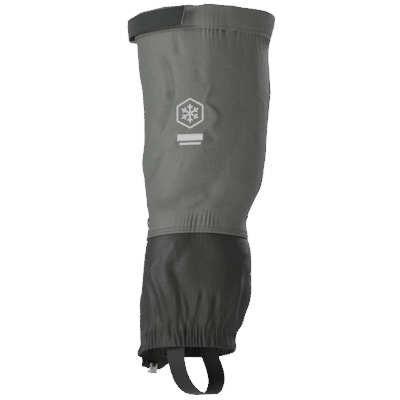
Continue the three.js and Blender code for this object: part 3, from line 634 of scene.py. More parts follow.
def webbing_cloth(name, dark, light, roughness=0.62):
    """Flat webbing: close cross ribs, with the warp's herringbone over them."""
    look = Look(name, light, roughness)
    split = look.node("ShaderNodeSeparateXYZ", {0: look.coordinate("UV")})
    along, across = split.outputs[0], split.outputs[1]
    zigzag = look.math("MULTIPLY", look.math("PINGPONG", across, 0.0016), 0.9)
    ribs = look.ridges(look.math("ADD", along, zigzag), 0.0014)
    ends = look.ridges(across, 0.0008)
    height = look.math("ADD", look.math("MULTIPLY", ribs, 0.7), look.math("MULTIPLY", ends, 0.3))
    mixed = look.math("MULTIPLY", height, look.math("ADD", look.noise(420, 3), 0.5))
    look.set({"Base Color": look.ramp(mixed, (0.05, dark), (0.85, light)), "Sheen Weight": 0.12})
    look.set({"Sheen Roughness": 0.5, "Specular IOR Level": 0.25})
    look.bump(height, 0.6, 0.00035)
    return look.material


def moulded_plastic(name, colour, roughness):
    """Moulded nylon: fine spark texture with smoother, slightly rubbed edges."""
    look = Look(name, colour, roughness)
    cloud = look.noise(90, 3)
    base = look.ramp(cloud, (0.3, colour), (0.75, tinted(colour, 1.35)))
    rubbed = look.math("MULTIPLY", look.pointed(0.52, 0.6), 0.5)
    look.set({"Base Color": look.mix(rubbed, base, tuple(min(1, c * 2.2 + 0.01) for c in colour))})
    look.vary_roughness(cloud, 0.06, 0.1)
    look.bump(look.noise(1800, 2), 0.25, 0.0001)
    return look.material


def plated_metal(name, colour, roughness):
    """Plated steel: faint drawn lines, small scratches and duller patches."""
    look = Look(name, colour, roughness, 0.85)
    patches = look.noise(160, 4)
    look.set({"Base Color": look.ramp(patches, (0.32, tinted(colour, 0.72)), (0.62, colour))})
    look.vary_roughness(patches, 0.08, 0.16)
    look.bump(look.noise(700, 3, (1, 1, 0.08)), 0.2, 0.00008)
    return look.material


def speckled(name, colour, roughness, sheen, grain, stops, relief):
    """One colour and its shade in a fine grain: thread, print and floor.

    grain holds the noise's scale and detail, stops the ramp's two places and the first one's shade,
    and relief the bump's strength and distance.
    """
    look = Look(name, colour, roughness)
    speckles = look.noise(*grain)
    shaded = look.ramp(speckles, (stops[0], tinted(colour, stops[2])), (stops[1], colour))
    look.set({"Base Color": shaded, "Sheen Weight": sheen})
    if relief:
        look.bump(speckles, *relief)
    return look.material


def thread(name, colour):
    return speckled(name, colour, 0.6, 0.2, (2600, 2), (0.35, 0.6, 0.55), (0.5, 0.0002))


def pile_tape(name, colour, scale, height):
    """Hook or loop tape: a dense pile on a woven ground."""
    look = Look(name, colour, 0.8)
    cells = look.node("ShaderNodeTexVoronoi", {"Vector": look.coordinate("Object"), "Scale": scale})
    tuft = look.math("SUBTRACT", 1.0, cells.outputs["Distance"])
    look.set({"Base Color": look.ramp(tuft, (0.3, colour), (0.95, tinted(colour, 2.4))), "Sheen Weight": 0.5})
    look.bump(tuft, 0.8, height)
    return look.material


GREY = coated_cloth(
    "grey_cloth", (0.079, 0.082, 0.074), (0.092, 0.095, 0.086), (0.109, 0.112, 0.102), 0.55, 0.06
)
BLACK = coated_cloth(
    "black_cloth", (0.018, 0.0185, 0.0162), (0.0235, 0.024, 0.0212), (0.03, 0.0305, 0.0272), 0.54, 0.03
)
BLACK_STRAP = webbing_cloth("black_webbing", (0.0055, 0.0055, 0.005), (0.0165, 0.0168, 0.0155))
GREY_STRAP = webbing_cloth("dark_grey_webbing", (0.006, 0.0065, 0.0065), (0.018, 0.019, 0.0188))
PLASTIC = moulded_plastic("black_nylon", (0.012, 0.012, 0.013), 0.42)
SNAP = plated_metal("gunmetal", (0.09, 0.09, 0.10), 0.3)
STEEL = plated_metal("nickel", (0.86, 0.85, 0.78), 0.3)
GREY_THREAD = thread("grey_thread", (0.050, 0.053, 0.051))
BLACK_THREAD = thread("black_thread", (0.016, 0.016, 0.015))
HOOK_PILE = pile_tape("hook_pile", even(0.012), 900, 0.0006)
LOOP_PILE = pile_tape("loop_pile", even(0.016), 650, 0.0008)
ELASTIC = webbing_cloth("braided_elastic", even(0.006), even(0.022), 0.7)
INK = speckled("white_ink", (0.80, 0.81, 0.80), 0.5, 0.0, (1500, 3), (0.34, 0.5, 0.62), (0.3, 0.0001))
SEALED = moulded_plastic("melted_edge", (0.085, 0.088, 0.086), 0.4)


# ---- cloth pieces

BEND_FROM, BEND_TO = 2, -9  # degrees from the flap's hinge line, which set the two hinge points below
BEND_HEIGHT = 190
HINGE_START = wall(FLAP_HINGE_ANGLE + BEND_FROM, BEND_HEIGHT) * MM
HINGE_END = wall(FLAP_HINGE_ANGLE + BEND_TO, BEND_HEIGHT) * MM
OUTER_SPAN = (FLAP_EDGE_ANGLE, 360 - BACK_GAP)
INNER_SPAN = (BACK_GAP, UNDERLAP_END_ANGLE)


def put(obj, look, slot, nodes=(), body="gaiter"):
    """Gives a piece its material, the nodes it replaces and the body it moves with. Its slot is not used.

    The body "hinge" only bakes the piece's transform into its mesh, and None leaves the body to the caller.
    """
    obj.data.materials.clear()
    obj.data.materials.append(look)
    if nodes:
        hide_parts(*nodes)
    if body == "hinge":
        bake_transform(obj)
    elif body:
        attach(obj, body)
    return obj


def spread(low, high, step):
    return np.linspace(low, high, max(2, int(round(abs(high - low) / step)) + 1))


def level(height):
    """The same height at every angle."""
    return lambda angle: np.full(angle.shape, float(height))


def grid_of(angles, heights):
    """Angles over a grid of heights."""
    return np.broadcast_to(angles, heights.shape)


def front_guard(angle, relief):
    """Keeps the flap's cloth clear of the tapes under it: it may stand out there, but not dip in."""
    under = bump(np.asarray(angle, float), 180, 22)
    outwards = (relief + np.sqrt(relief ** 2 + 0.8)) / 2 - 0.15
    return relief * (1 - under) + outwards * under


def inner_relief(angle, relief):
    """The inner side's relief, which only dips in where it lies under the flap and its tapes."""
    under = smooth_step(angle, 150, 164)
    step = np.clip((angle - FLAP_EDGE_ANGLE + UNDERLAP_RAMP) / UNDERLAP_RAMP, 0, 1)
    return relief * (1 - under) + np.minimum(relief, 0) * 0.4 * under - UNDERLAP_DEPTH * step


def cloth_point(relief_at, shaped):
    """A function that gives points on one cloth, moved outwards by a lift."""
    def point_at(angle, height, lift=0.0):
        return wall(angle, sagged(angle, height), shaped(angle, relief_at(angle, height)) + lift)
    return point_at


def leg_relief(angle, height):
    return np.where(height > SEAM_HEIGHT, upper_relief(angle, height), lower_relief(angle, height))


outer_upper_point = cloth_point(upper_relief, front_guard)
outer_lower_point = cloth_point(lower_relief, front_guard)
outer_leg_point = cloth_point(leg_relief, front_guard)
inner_upper_point = cloth_point(upper_relief, inner_relief)
inner_lower_point = cloth_point(lower_relief, inner_relief)
inner_leg_point = cloth_point(leg_relief, inner_relief)


def add_cloth(name, points, look, slot, nodes, body="gaiter", thickness=CLOTH):
    """A sheet of cloth from its grid, whose flat width and length are measured on it."""
    obj = put(cloth_from_grid(name, points, thickness), look, slot, nodes, body)
    width = float(travelled(points, 1)[:, -1].max()) * MM
    length = float(travelled(points, 0)[-1].max()) * MM


def seam_lip(height):
    """The grey cloth laps over the black one: its edge is doubled and its stitching pulls in."""
    return 0.55 * fall(height - SEAM_HEIGHT, 5) - 0.35 * bump(height, SEAM_HEIGHT + 5, 1.5)


def add_leg_cloth(name, point_at, span, top, nodes, body):
    angles = spread(*span, COLUMN)
    low, high = SEAM_HEIGHT - 1.0, top(angles)
    share = np.linspace(0, 1, len(spread(low, float(np.max(high)), ROW)))[:, None]
    heights = low * (1 - share) + high[None] * share
    points = point_at(grid_of(angles, heights), heights, seam_lip(heights))
    add_cloth(name, points, GREY, "upper_cloth", nodes, body)


def add_upper_cloth():
    def outer_top(angle):
        tuck = smooth_step(angle, FLAP_HINGE_ANGLE - 4, FLAP_HINGE_ANGLE + 4)
        return cuff_bottom(angle) - 1.2 + 5.2 * tuck

    def inner_top(angle):
        return cuff_bottom(angle) + 4

    outer_nodes = ("upper_panel_outer", "front_flap_upper")
    add_leg_cloth("outer_leg_cloth", outer_upper_point, OUTER_SPAN, outer_top, outer_nodes, "hinge")
    inner_nodes = ["upper_panel_inner"]
    add_leg_cloth("inner_leg_cloth", inner_upper_point, INNER_SPAN, inner_top, inner_nodes, "gaiter")


def add_boot_cloth(name, point_at, span, bottom, nodes, body):
    """A black panel whose lower edge turns in and runs up inside, as a channel for elastic."""
    angles = spread(*span, COLUMN)
    radius = 1.6
    inside = spread(HEM_CASING_HEIGHT, radius, ROW)[:-1]
    turn = np.linspace(0, math.pi, 9)
    outside = spread(radius, SEAM_HEIGHT + 4, ROW)[1:]
    heights = np.concatenate([inside, radius - radius * np.sin(turn), outside])[:, None]
    lifts = np.concatenate([inside * 0 - 2 * radius, -radius - radius * np.cos(turn), outside * 0])[:, None]
    heights = heights + bottom(angles)[None] * (1 - smooth_step(heights, 0, 60))
    lifts = lifts - 0.25 - 0.6 * smooth_step(heights, SEAM_HEIGHT - 8, SEAM_HEIGHT)
    points = point_at(grid_of(angles, heights), heights, lifts)
    add_cloth(name, points, BLACK, "lower_cloth", nodes, body)


def add_lower_cloth():
    def outer_bottom(angle):
        return -(FLAP_DROP + 1) * (1 - smooth_step(angle, 190, FLAP_HINGE_ANGLE + 6))

    def inner_bottom(angle):
        return -2.5 * smooth_step(sine(angle), 0.2, 0.8)

    outer_nodes = ("lower_panel_outer", "front_flap_lower", "hem_casing_outer", "hem_elastic")
    add_boot_cloth("outer_boot_cloth", outer_lower_point, OUTER_SPAN, outer_bottom, outer_nodes, "hinge")
    inner_nodes = ("lower_panel_inner", "hem_casing_inner")
    add_boot_cloth("inner_boot_cloth", inner_lower_point, INNER_SPAN, inner_bottom, inner_nodes, "gaiter")


def cuff_relief(angle, height):
    """How the cuff stands in or out: it follows the cloth at its lower edge and waves at its rim."""
    share = smooth_step((height - cuff_bottom(angle)) / CUFF_HEIGHT, 0, 1)
    ripples = 0.5 * pleats(angle, height, 62, 5) * elastic_share(angle) * (1 - 0.6 * share)
    wave = 0.9 * random_field(angle, height, 46, 17) * share
    ridge = long_fold(wall(angle, height)[..., 0], height, [(19, 430), (15, 340)], 40, 32, 3.0)
    return rim_relief(angle) * (1 - share) + (ripples + wave + ridge * (sine(angle) < 0) * share)


def cuff_point(angle, height, lift=0.0):
    return wall(angle, height, cuff_relief(angle, height) + lift)


def add_cuff(name, start, end, nodes):
    """The cuff: cloth that comes up inside, rolls over the rim and ends in a turned-in edge outside."""
    angles = spread(start, end, COLUMN)
    radius = 1.9
    inside = -2.2  # how far its inner layer lies from the tube's face
    outside = inside + 2 * radius
    roll, edge = np.linspace(0, math.pi, 11), np.linspace(0, math.pi / 2, 5)[1:]
    up = np.linspace(1, radius / CUFF_HEIGHT, 16)[:-1] * CUFF_HEIGHT
    down = np.linspace(radius / CUFF_HEIGHT, 1, 26)[1:] * CUFF_HEIGHT
    settled = 0.7 * smooth_step(down, CUFF_HEIGHT - 9, CUFF_HEIGHT) + 0.5 * bump(down, CUFF_HEIGHT - 3.4, 1.2)
    drops = np.concatenate([up, radius * (1 - np.sin(roll)), down, CUFF_HEIGHT + 0.5 * np.sin(edge)])[:, None]
    lifts = np.concatenate([
        up * 0 + inside,
        inside + radius * (1 - np.cos(roll)),
        outside - settled,
        outside - 0.7 - 0.7 * (1 - np.cos(edge)),
    ])[:, None]
    uneven = np.minimum(0.5 * random_field(angles, 0, 30, 33), 0.3)[None]
    heights = rim_height(angles)[None] - drops + uneven * smooth_step(1 - drops / CUFF_HEIGHT, 0.2, 1)
    points = cuff_point(grid_of(angles, heights), heights, lifts)
    add_cloth(name, points, GREY, "upper_cloth", nodes)


def add_lace_tab():
    """The inner panel's lower front corner: doubled cloth with a turned edge."""
    angles = spread(TAB_START_ANGLE, TAB_END_ANGLE, COLUMN)
    start = np.clip((angles - TAB_START_ANGLE) / (TAB_CORNER_ANGLE - TAB_START_ANGLE), 0, 1)
    low = -(8 + 10 * start)
    share = np.linspace(0, 1, 30)[:, None]
    heights = low[None] * (1 - share) + 24 * share
    grid = grid_of(angles, heights)
    soft = 0.35 * random_field(grid, heights, 26, 61)
    edge = 0.5 * bump(heights, low[None], 2.4)
    flare = 5.0 * smooth_step(-heights, -6, 7) * smooth_step(grid, 155, 180)
    points = wall(grid, heights, inner_relief(grid, 0.0 * grid) - FABRIC - 0.4 + soft + edge + flare)
    add_cloth("lace_tab_cloth", points, BLACK, "lower_cloth", ["lace_tab"], thickness=1.1)
    for number, rise in enumerate((2.2, 5.0), 1):
        line = wall(angles, low + rise, inner_relief(angles, 0.0 * angles) - FABRIC - 1.75)
        inward = wall(angles, low + rise, -10) - wall(angles, low + rise)
        put(stitches(f"lace_tab_stitches_{number}", line, inward), BLACK_THREAD, "lower_cloth")


# ---- stitching

GREY_ROW = (GREY_THREAD, "upper_cloth")
BLACK_ROW = (BLACK_THREAD, "lower_cloth")


def stitch_row(name, point_at, angles, heights, lift, style, body="gaiter"):
    line = point_at(angles, heights, lift)
    put(stitches(name, line, point_at(angles, heights, lift + 4) - line), *style, body=body)


def add_stitching():
    def cuff_row(angle):
        return cuff_bottom(angle) + 3.4

    hem_row = level(HEM_CASING_HEIGHT - 0.5)
    high_row, low_row = level(SEAM_HEIGHT + 6.0), level(SEAM_HEIGHT + 2.2)
    for name, point_at, start, end, row, lift, style, body in (
        ("ankle_stitches_outer_1", outer_upper_point, 163, 359, high_row, 0.35, GREY_ROW, "hinge"),
        ("ankle_stitches_inner_1", inner_upper_point, 1, 152, high_row, 0.35, GREY_ROW, "gaiter"),
        ("ankle_stitches_outer_2", outer_upper_point, 163, 359, low_row, 0.8, GREY_ROW, "hinge"),
        ("ankle_stitches_inner_2", inner_upper_point, 1, 152, low_row, 0.8, GREY_ROW, "gaiter"),
        ("cuff_stitches_outer", cuff_point, 172, 359, cuff_row, 0.75, GREY_ROW, "gaiter"),
        ("cuff_stitches_inner", cuff_point, 1, 170, cuff_row, 0.75, GREY_ROW, "gaiter"),
        ("hem_stitches_outer", outer_lower_point, 163, 359, hem_row, -0.15, BLACK_ROW, "hinge"),
        ("hem_stitches_inner", inner_lower_point, 1, 111, hem_row, -0.15, BLACK_ROW, "gaiter"),
    ):
        angles = spread(start, end, 0.5)
        stitch_row(name, point_at, angles, row(angles), lift, style, body)


# ---- linings, back seam and emblem


def add_strip(name, point_at, span, heights, lift, thickness, look, slot, nodes=(), columns=0.8):
    """A narrow band that follows the cloth."""
    angles = spread(*span, columns)
    rises = spread(*heights, ROW)
    heights = np.broadcast_to(rises[:, None], (len(rises), len(angles)))
    points = point_at(grid_of(angles, heights), heights, lift)
    put(cloth_from_grid(name, points, thickness), look, slot, nodes)


def add_linings():
    band = (SEAM_HEIGHT - 5, SEAM_HEIGHT + 15)
    sides = (("outer", outer_leg_point, (226, 314)), ("inner", inner_leg_point, (46, 134)))
    for side, point_at, span in sides:
        node = f"ankle_elastic_{side}"
        add_strip(f"ankle_elastic_band_{side}", point_at, span, band, -1.7, 0.9, ELASTIC, "elastic", [node])
    top = float(cuff_bottom(np.array(0.0))) + 2
    parts = (
        ("upper", (SEAM_HEIGHT + 1, top), (SEAM_HEIGHT - 0.6, top - 1.5), 0.75, GREY,
         (SEAM_HEIGHT + 1, top - 3), GREY_ROW),
        ("lower", (HEM_CASING_HEIGHT + 1, SEAM_HEIGHT), (4, SEAM_HEIGHT), 0.55, BLACK,
         (6, SEAM_HEIGHT - 2), BLACK_ROW),
    )
    for part, tape, *_ in parts:
        node = f"back_seam_tape_{part}"
        add_strip(f"back_seam_{part}", outer_leg_point, (351, 369), tape, -1.2, 0.7, ELASTIC, "tape", [node])
    for part, _, fell, rise, look, *_ in parts:
        name, span, slot = f"back_fell_{part}", (356.5, 363.5), f"{part}_cloth"
        add_strip(name, outer_leg_point, span, fell, rise, 0.7, look, slot, columns=0.5)
    for number, turn in enumerate((357.6, 362.4), 1):
        for part, _, _, rise, _, seam, style in parts:
            heights = spread(*seam, 0.8)
            angles = np.full(heights.shape, turn)
            stitch_row(f"back_stitches_{part}_{number}", outer_leg_point, angles, heights, rise + 0.2, style)


EMBLEM_X = -7
EMBLEM_HEIGHT = 278.4
EMBLEM_RADIUS = 17.4


def outer_cloth_at(x, height, lift):
    """A point on the outer side's grey cloth, found by how far back it lies."""
    x, height = np.broadcast_arrays(np.asarray(x, float), np.asarray(height, float))
    angles = np.linspace(225, 325, 401)
    found = np.empty(x.shape)
    for index in np.ndindex(x.shape):
        places = outer_upper_point(angles, np.full(angles.shape, height[index]))[:, 0]
        found[index] = np.interp(x[index], places, angles)
    return outer_upper_point(found, height, lift)


def stroke(start, end, width):
    """A straight printed line as a grid of points in the emblem's plane."""
    start, end = np.array(start, float), np.array(end, float)
    length = np.hypot(*(end - start))
    side = np.array([start[1] - end[1], end[0] - start[0]]) / length * width / 2
    steps = np.linspace(0, 1, max(3, int(length / 0.9) + 1))[None, :, None]
    across = np.linspace(-1, 1, 3)[:, None, None]
    return start + (end - start) * steps + side * across


def emblem_strokes():
    """A six-sided outline round a six-armed snow crystal, and two plain bars under it."""
    def towards(turn):
        return np.array([math.sin(turn), math.cos(turn)])

    strokes = []
    for k in range(6):
        turn = math.radians(60 * k)
        corner, following = towards(turn), towards(turn + math.radians(60))
        strokes.append(stroke(corner * EMBLEM_RADIUS, following * EMBLEM_RADIUS, 1.5))
        strokes.append(stroke(corner * 0.8, corner * 11.2, 1.5))
        for lean in (-0.9, 0.9):
            strokes.append(stroke(corner * 6.0, corner * 6.0 + towards(turn + lean) * 4.0, 1.3))
    strokes.append(stroke((-15, -28.8), (15, -28.8), 7.5))
    strokes.append(stroke((-12.5, -36.4), (12.5, -36.4), 2.2))
    return strokes


def add_emblem():
    for index, flat in enumerate(emblem_strokes()):
        points = outer_cloth_at(EMBLEM_X + flat[..., 0], EMBLEM_HEIGHT + flat[..., 1], 0.22)
        if np.cross(points[0, 1] - points[0, 0], points[1, 0] - points[0, 0])[1] > 0:
            points = points[::-1]
        put(cloth_from_grid(f"emblem_stroke_{index + 1}", points, 0.3), INK, "upper_cloth")


# ---- straps

STRAP_ORIGIN = np.array([-80.65, 5.0, 392.0])
STRAP_TILT = math.radians(5.3)
STRAP_AXES = np.array([
    (math.cos(STRAP_TILT), 0, math.sin(STRAP_TILT)),
    (0, 1, 0),
    (-math.sin(STRAP_TILT), 0, math.cos(STRAP_TILT)),
])
STRAP_ARC_RADIUS = 77
STRAP_WIDTH = 20
STRAP_HEIGHT = 392.0
WEBBING = 1.6
TAIL_START_ANGLE = 135.8
TAIL_END_ANGLE = 262
TAIL_DROP = 2.2  # how far the loose tail hangs
TAIL_SPREAD = 0.1
STRAP_SEWN_ANGLES = (124, 117, 110, 103)
TAB_SEWN_ANGLES = (144, 150, 156, 162)
STRAP_SEAT = 2.6  # from the tube's face to a strap that is sewn on the cuff


def strap(name, path, look, node, width_way=None, width=STRAP_WIDTH, body="gaiter", **sizes):
    """A strap of the CAD's: its webbing, look, node and body."""
    way = STRAP_AXES[2] if width_way is None else width_way
    return put(webbing(name, path, way, width, **sizes), look, "webbing", node, body)


def strap_local(points):
    return STRAP_ORIGIN + np.asarray(points, float) @ STRAP_AXES


def on_arc(angle, radius, z=0.0):
    angle = np.radians(np.asarray(angle, float))
    x = STRAP_ARC_RADIUS + radius * np.cos(angle)
    return strap_local(np.stack([x, radius * np.sin(angle), np.broadcast_to(z, x.shape)], -1))


def on_cuff(angle, offset):
    point = wall(np.asarray(angle, float), np.full(np.shape(angle), STRAP_HEIGHT), offset) - STRAP_ORIGIN
    point[..., 2] = 0
    return strap_local(point)


def add_strap_tail():
    middle = STRAP_ARC_RADIUS + WEBBING / 2
    end_angle = TAIL_END_ANGLE + 2
    angles = spread(TAIL_START_ANGLE, end_angle, 1)
    ripple = 0.25 * np.sin(np.radians(angles * 7)) * smooth_step(angles, 170, 200)
    share = (angles - angles[0]) / (angles[-1] - angles[0])
    path = on_arc(angles, middle + ripple)
    path = path - STRAP_AXES[2] * (TAIL_DROP * smooth_step(share, 0.12, 0.4))[:, None]
    strap("strap_tail_webbing", path, GREY_STRAP, ["strap_tail"], body="strap_tail",
          rows=200, slant=7, spread_out=TAIL_SPREAD)
    end = on_arc(np.array([end_angle - 5.0, end_angle]), middle)
    half = STRAP_WIDTH * (1 + TAIL_SPREAD) / 2 + 0.1
    low = end[0] - STRAP_AXES[2] * (half + TAIL_DROP)
    high = end[1] + STRAP_AXES[2] * (half - TAIL_DROP)
    strap("strap_tail_sealed_edge", [low, (low + high) / 2, high], SEALED, (), unit(end[1] - end[0]), 1.7,
          "strap_tail", thickness=WEBBING + 0.35, rows=24)


def add_sewn_straps():
    start = on_arc(np.array([TAIL_START_ANGLE - 1.2]), STRAP_ARC_RADIUS + WEBBING / 2)
    path = np.concatenate([start, on_cuff(STRAP_SEWN_ANGLES, STRAP_SEAT + 0.2)])
    strap("cuff_strap_webbing", smooth_path(path), GREY_STRAP, ["cuff_strap"], rows=80)
    path = smooth_path(on_cuff(TAB_SEWN_ANGLES, STRAP_SEAT + 0.4))
    strap("buckle_tab_webbing", path, GREY_STRAP, ["buckle_tab"], thickness=1.2, rows=60)
    for name, stops in (("cuff_strap", (104, 116)), ("buckle_tab", (154, 161))):
        box_stitches(name, stops, STRAP_SEAT + 1.15)


def box_stitches(name, stops, lift):
    """The square of stitches, with a cross in it, that sews a strap down."""
    reach = STRAP_WIDTH / 2 - 2.2
    corners = [(stops[0], -reach), (stops[1], -reach), (stops[1], reach), (stops[0], reach)]
    lines = [(corners[i], corners[(i + 1) % 4]) for i in range(4)] + [corners[0::2], corners[1::2]]
    for index, (start, end) in enumerate(lines):
        share = np.linspace(0, 1, 16)
        angles = start[0] + (end[0] - start[0]) * share
        rise = start[1] + (end[1] - start[1]) * share
        line = on_cuff(angles, lift) + STRAP_AXES[2] * rise[:, None]
        outward = on_cuff(angles, lift + 4) - on_cuff(angles, lift)
        row = stitches(f"{name}_stitches_{index + 1}", line, outward, pitch=2.6, length=1.9)
        put(row, GREY_THREAD, "webbing")


INSTEP_CENTRE = np.array([-4.278, -0.841, 0.0])
INSTEP_ACROSS = np.array([0.3785, 0.9256, 0.0])
INSTEP_WIDTH_WAY = np.array([0.9256, -0.3785, 0.0])
INSTEP_WIDTH = 22
INSTEP_DEPTH = 53
INSTEP_HALF_SPAN = 47.2


def add_instep_strap():
    """The strap under the boot: it hangs from inside the hem and bows towards the heel."""
    half, low = INSTEP_HALF_SPAN - WEBBING / 2 - 0.3, -INSTEP_DEPTH + WEBBING / 2
    sewn = half - 4.2
    knots = [
        (-sewn, 15), (-sewn, 5), (-sewn - 1, 0), (-half + 1, -12), (-half + 3, -24), (-half + 11, -38),
        (-24, -47.5), (-12, low),
    ]
    knots += [(-u, z) for u, z in reversed(knots)]
    flat = follow(smooth_path([(u, 0, z) for u, z in knots], 4), 160)
    share = np.linspace(0, 1, len(flat))
    stations = [0, 0.12, 0.3, 0.42, 0.52, 0.62, 0.75, 0.88, 1]
    bow = np.interp(share, stations, [-3.2, -3.2, 0.5, 6.5, 13, 17, 16, 7, 0])
    bow = np.convolve(np.pad(bow, 8, mode="edge"), np.ones(17) / 17, mode="valid")
    path = INSTEP_CENTRE + flat[:, :1] * INSTEP_ACROSS + bow[:, None] * INSTEP_WIDTH_WAY
    path[:, 2] = flat[:, 2]
    obj = webbing("instep_webbing", path, INSTEP_WIDTH_WAY, INSTEP_WIDTH, WEBBING, 220)
    put(obj, BLACK_STRAP, "webbing", ("instep_strap", "instep_anchor_outer", "instep_anchor_inner"), None)
    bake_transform(obj)


# ---- hard parts


def refined(name, node, look, slot, width, body="gaiter", segments=2):
    """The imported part's own shape, with its flat facets joined and its sharp edges rounded."""
    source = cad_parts[node]
    mesh = source.data.copy()
    mesh.name = name
    mesh.transform(source.matrix_world)
    shape = bmesh.new()
    shape.from_mesh(mesh)
    bmesh.ops.remove_doubles(shape, verts=shape.verts, dist=1e-6)
    bmesh.ops.dissolve_limit(shape, angle_limit=math.radians(1), verts=shape.verts, edges=shape.edges)
    sharp = [edge for edge in shape.edges if edge.calc_face_angle(0.0) > math.radians(35)]
    rounding = {"offset": width * MM, "segments": segments, "profile": 0.5}
    bmesh.ops.bevel(shape, geom=sharp, affect="EDGES", clamp_overlap=True, **rounding)
    shape.to_mesh(mesh)
    shape.free()
    mesh.polygons.foreach_set("use_smooth", [True] * len(mesh.polygons))
    obj = link(name, mesh)
    mesh.set_sharp_from_angle(angle=math.radians(40))
    put(obj, look, slot, [node], body)


def lathe(name, profile, centre, axis, look, slot, body, nodes=(), count=48):
    """A round part turned from a profile of (radius, distance along the axis), in millimetres."""
    axis = unit(np.array(axis, float))
    side = unit(np.cross(axis, (0, 0, 1.0)))
    up = np.cross(side, axis)
    turn = np.linspace(0, math.tau, count, endpoint=False)
    rim = np.cos(turn)[:, None] * side + np.sin(turn)[:, None] * up
    vertices = [np.array(centre) + r * rim + h * axis for r, h in profile]
    index = np.arange(len(profile) * count).reshape(len(profile), count)
    after = np.roll(index, -1, axis=1)
    faces = np.stack([index[:-1], after[:-1], after[1:], index[1:]], -1).reshape(-1, 4).tolist()
    faces.append(index[0][::-1].tolist())
    faces.append(index[-1].tolist())
    obj = new_object(name, np.concatenate(vertices) * MM, faces)
    fix = bmesh.new()
    fix.from_mesh(obj.data)
    bmesh.ops.recalc_face_normals(fix, faces=fix.faces)
    fix.to_mesh(obj.data)
    fix.free()
    obj.data.set_sharp_from_angle(angle=math.radians(50))
    put(obj, look, slot, nodes, body)


SNAP_CENTRE = (-56.44, -4.07, 155.0)
SNAP_OUT = (-0.999, -0.045, 0.0)


SNAP_PARTS = [  # name, node, body, profile
    ("snap_dome", "snap_cap", "front_flap", [
        (0.01, 2.6), (1.5, 2.55), (3.0, 2.3), (4.2, 1.95), (4.5, 1.7), (4.7, 1.75), (5.4, 1.9), (5.9, 1.5),
        (6.0, 1.0), (6.0, -0.9), (5.4, -1.0),
    ]),
    ("snap_socket_ring", "snap_socket", "front_flap", [
        (3.9, -1.9), (4.0, -2.3), (3.6, -2.6), (2.6, -2.6), (2.3, -2.1), (1.5, -2.1), (1.5, -1.9),
    ]),
    ("snap_stud_post", "snap_stud", "gaiter", [
        (2.9, -3.6), (2.9, -3.3), (1.6, -3.2), (1.5, -2.95), (0.01, -2.9),
    ]),
    ("snap_post_back", "snap_post", "gaiter", [
        (0.01, -6.7), (1.4, -6.75), (2.0, -7.05), (4.6, -7.1), (5.0, -6.8), (5.0, -6.5), (4.4, -6.4),
    ]),
]


def add_snap():
    for name, node, body, profile in SNAP_PARTS:
        lathe(name, profile, SNAP_CENTRE, SNAP_OUT, SNAP, "snap_metal", body, [node])


BUCKLE_CENTRE = np.array([-67.5396, 48.0579, 393.216])
BUCKLE_AXES = np.array([(-0.8255, 0.5592, -0.0766), (-0.5568, -0.8290, -0.0517), (-0.0924, 0, 0.9957)])


def bar(name, start, end, radius, look, slot, body):
    """A round bar with rounded ends between two points in millimetres."""
    start, end = np.array(start, float), np.array(end, float)
    length = np.linalg.norm(end - start)
    profile = [(0.01, 0), (radius * 0.7, 0.05 * radius), (radius, radius * 0.35)]
    profile += [(reach, length - at) for reach, at in reversed(profile)]
    axis = (end - start) / length
    if abs(axis[2]) > 0.9:
        axis = axis + np.array([1e-3, 0, 0])
    lathe(name, profile, start, axis, look, slot, body, count=20)


def add_buckle():
    refined("buckle_frame_moulding", "buckle_frame", PLASTIC, "buckle_plastic", 0.5, segments=3)
    refined("cam_lever_moulding", "cam_lever", PLASTIC, "buckle_plastic", 0.5, "cam_lever", segments=3)
    refined("cam_pin_turned", "cam_pin", STEEL, "steel", 0.25)
    for index in range(5):
        along = 4.5 + 2.1 * index
        ends = [BUCKLE_CENTRE + np.array([8.45, along, side * 7.6]) @ BUCKLE_AXES for side in (-1, 1)]
        bar(f"cam_lever_rib_{index + 1}", ends[0], ends[1], 0.55, PLASTIC, "buckle_plastic", "cam_lever")


def add_hook():
    refined("lace_hook_pressing", "lace_hook", STEEL, "steel", 0.3, "lace_hook", segments=3)
    refined("hook_keeper_loop", "hook_keeper", BLACK_STRAP, "webbing", 0.25)


# ---- run

add_upper_cloth()
add_lower_cloth()
add_cuff("outer_cuff_cloth", CUFF_FRONT_ANGLE + 0.2, 359.8, ["cuff_outer", "cuff_elastic"])
add_cuff("inner_cuff_cloth", 0.2, CUFF_FRONT_ANGLE - 0.2, ["cuff_inner"])
add_lace_tab()
add_stitching()
add_linings()
add_emblem()
add_strap_tail()
add_sewn_straps()
add_instep_strap()
add_snap()
add_buckle()
add_hook()

for kind, pile in (("hook", HOOK_PILE), ("loop", LOOP_PILE)):
    for part in ("upper", "lower"):
        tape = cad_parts[f"{kind}_tape_{part}"]
        tape.data.materials.clear()
        tape.data.materials.append(pile)

# ---- floor, light and camera

TARGET = Vector((4.8, 0, 183)) * MM
VIEW_HEIGHT = 0.480  # metres of the object's plane that the picture is tall
DISTANCE = 10.0
ELEVATION = -8
SENSOR = 36.0


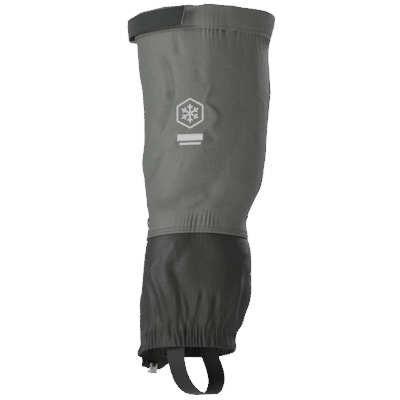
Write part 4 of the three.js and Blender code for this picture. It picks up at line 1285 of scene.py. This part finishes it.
def add_floor():
    size, low = 14.0, -1.4
    corners = [(-size, -size, low), (size, -size, low), (size, size, low), (-size, size, low)]
    floor = new_object("floor", corners, [[0, 1, 2, 3]], smooth=False)
    floor.data.materials.append(speckled("pale_floor", even(0.86), 0.9, 0.0, (3, 2), (0.3, 0.7, 0.985), None))


def aim(obj, place):
    """Puts a light or the camera at a place, looking at the middle of the object."""
    obj.location = place
    obj.rotation_euler = (TARGET - place).to_track_quat("-Z", "Y").to_euler()


def add_light(name, place, power, size, colour=(1, 1, 1)):
    light = bpy.data.lights.new(name, "AREA")
    light.energy = power
    light.size = size
    light.color = colour
    aim(link(name, light), Vector(place))


def add_world():
    """Soft light from all round, in front of a white studio wall."""
    world = bpy.data.worlds.new("studio")
    world.use_nodes = True
    tree = world.node_tree
    light, output = tree.nodes["Background"], tree.nodes["World Output"]
    light.inputs["Color"].default_value = (0.93, 0.97, 1.0, 1)
    light.inputs["Strength"].default_value = 0.42
    wall_light = tree.nodes.new("ShaderNodeBackground")
    wall_light.inputs["Color"].default_value = (1, 1, 1, 1)
    wall_light.inputs["Strength"].default_value = 18
    seen = tree.nodes.new("ShaderNodeLightPath").outputs["Is Camera Ray"]
    choose = tree.nodes.new("ShaderNodeMixShader")
    for socket, source in zip(choose.inputs, (seen, light.outputs[0], wall_light.outputs[0])):
        tree.links.new(source, socket)
    tree.links.new(choose.outputs[0], output.inputs["Surface"])
    bpy.context.scene.world = world


def add_camera():
    camera = bpy.data.cameras.new("camera")
    camera.sensor_width = SENSOR
    camera.lens = SENSOR * DISTANCE / VIEW_HEIGHT
    camera.clip_start, camera.clip_end = 0.1, 100
    obj = link("camera", camera)
    tilt = math.radians(ELEVATION)
    aim(obj, TARGET + DISTANCE * Vector((0, -math.cos(tilt), math.sin(tilt))))
    bpy.context.scene.camera = obj


add_floor()
add_world()
add_light("key", (-1.9, -1.05, 0.9), 48, 0.7, (0.97, 0.985, 1.0))
add_light("fill", (1.7, -1.7, 0.2), 6, 1.2, (1.0, 0.98, 0.93))
add_light("low", (-0.4, -2.2, -0.9), 30, 0.8, (1.0, 0.99, 0.97))
add_light("back", (1.4, 1.6, 1.2), 16, 1.0)
add_camera()
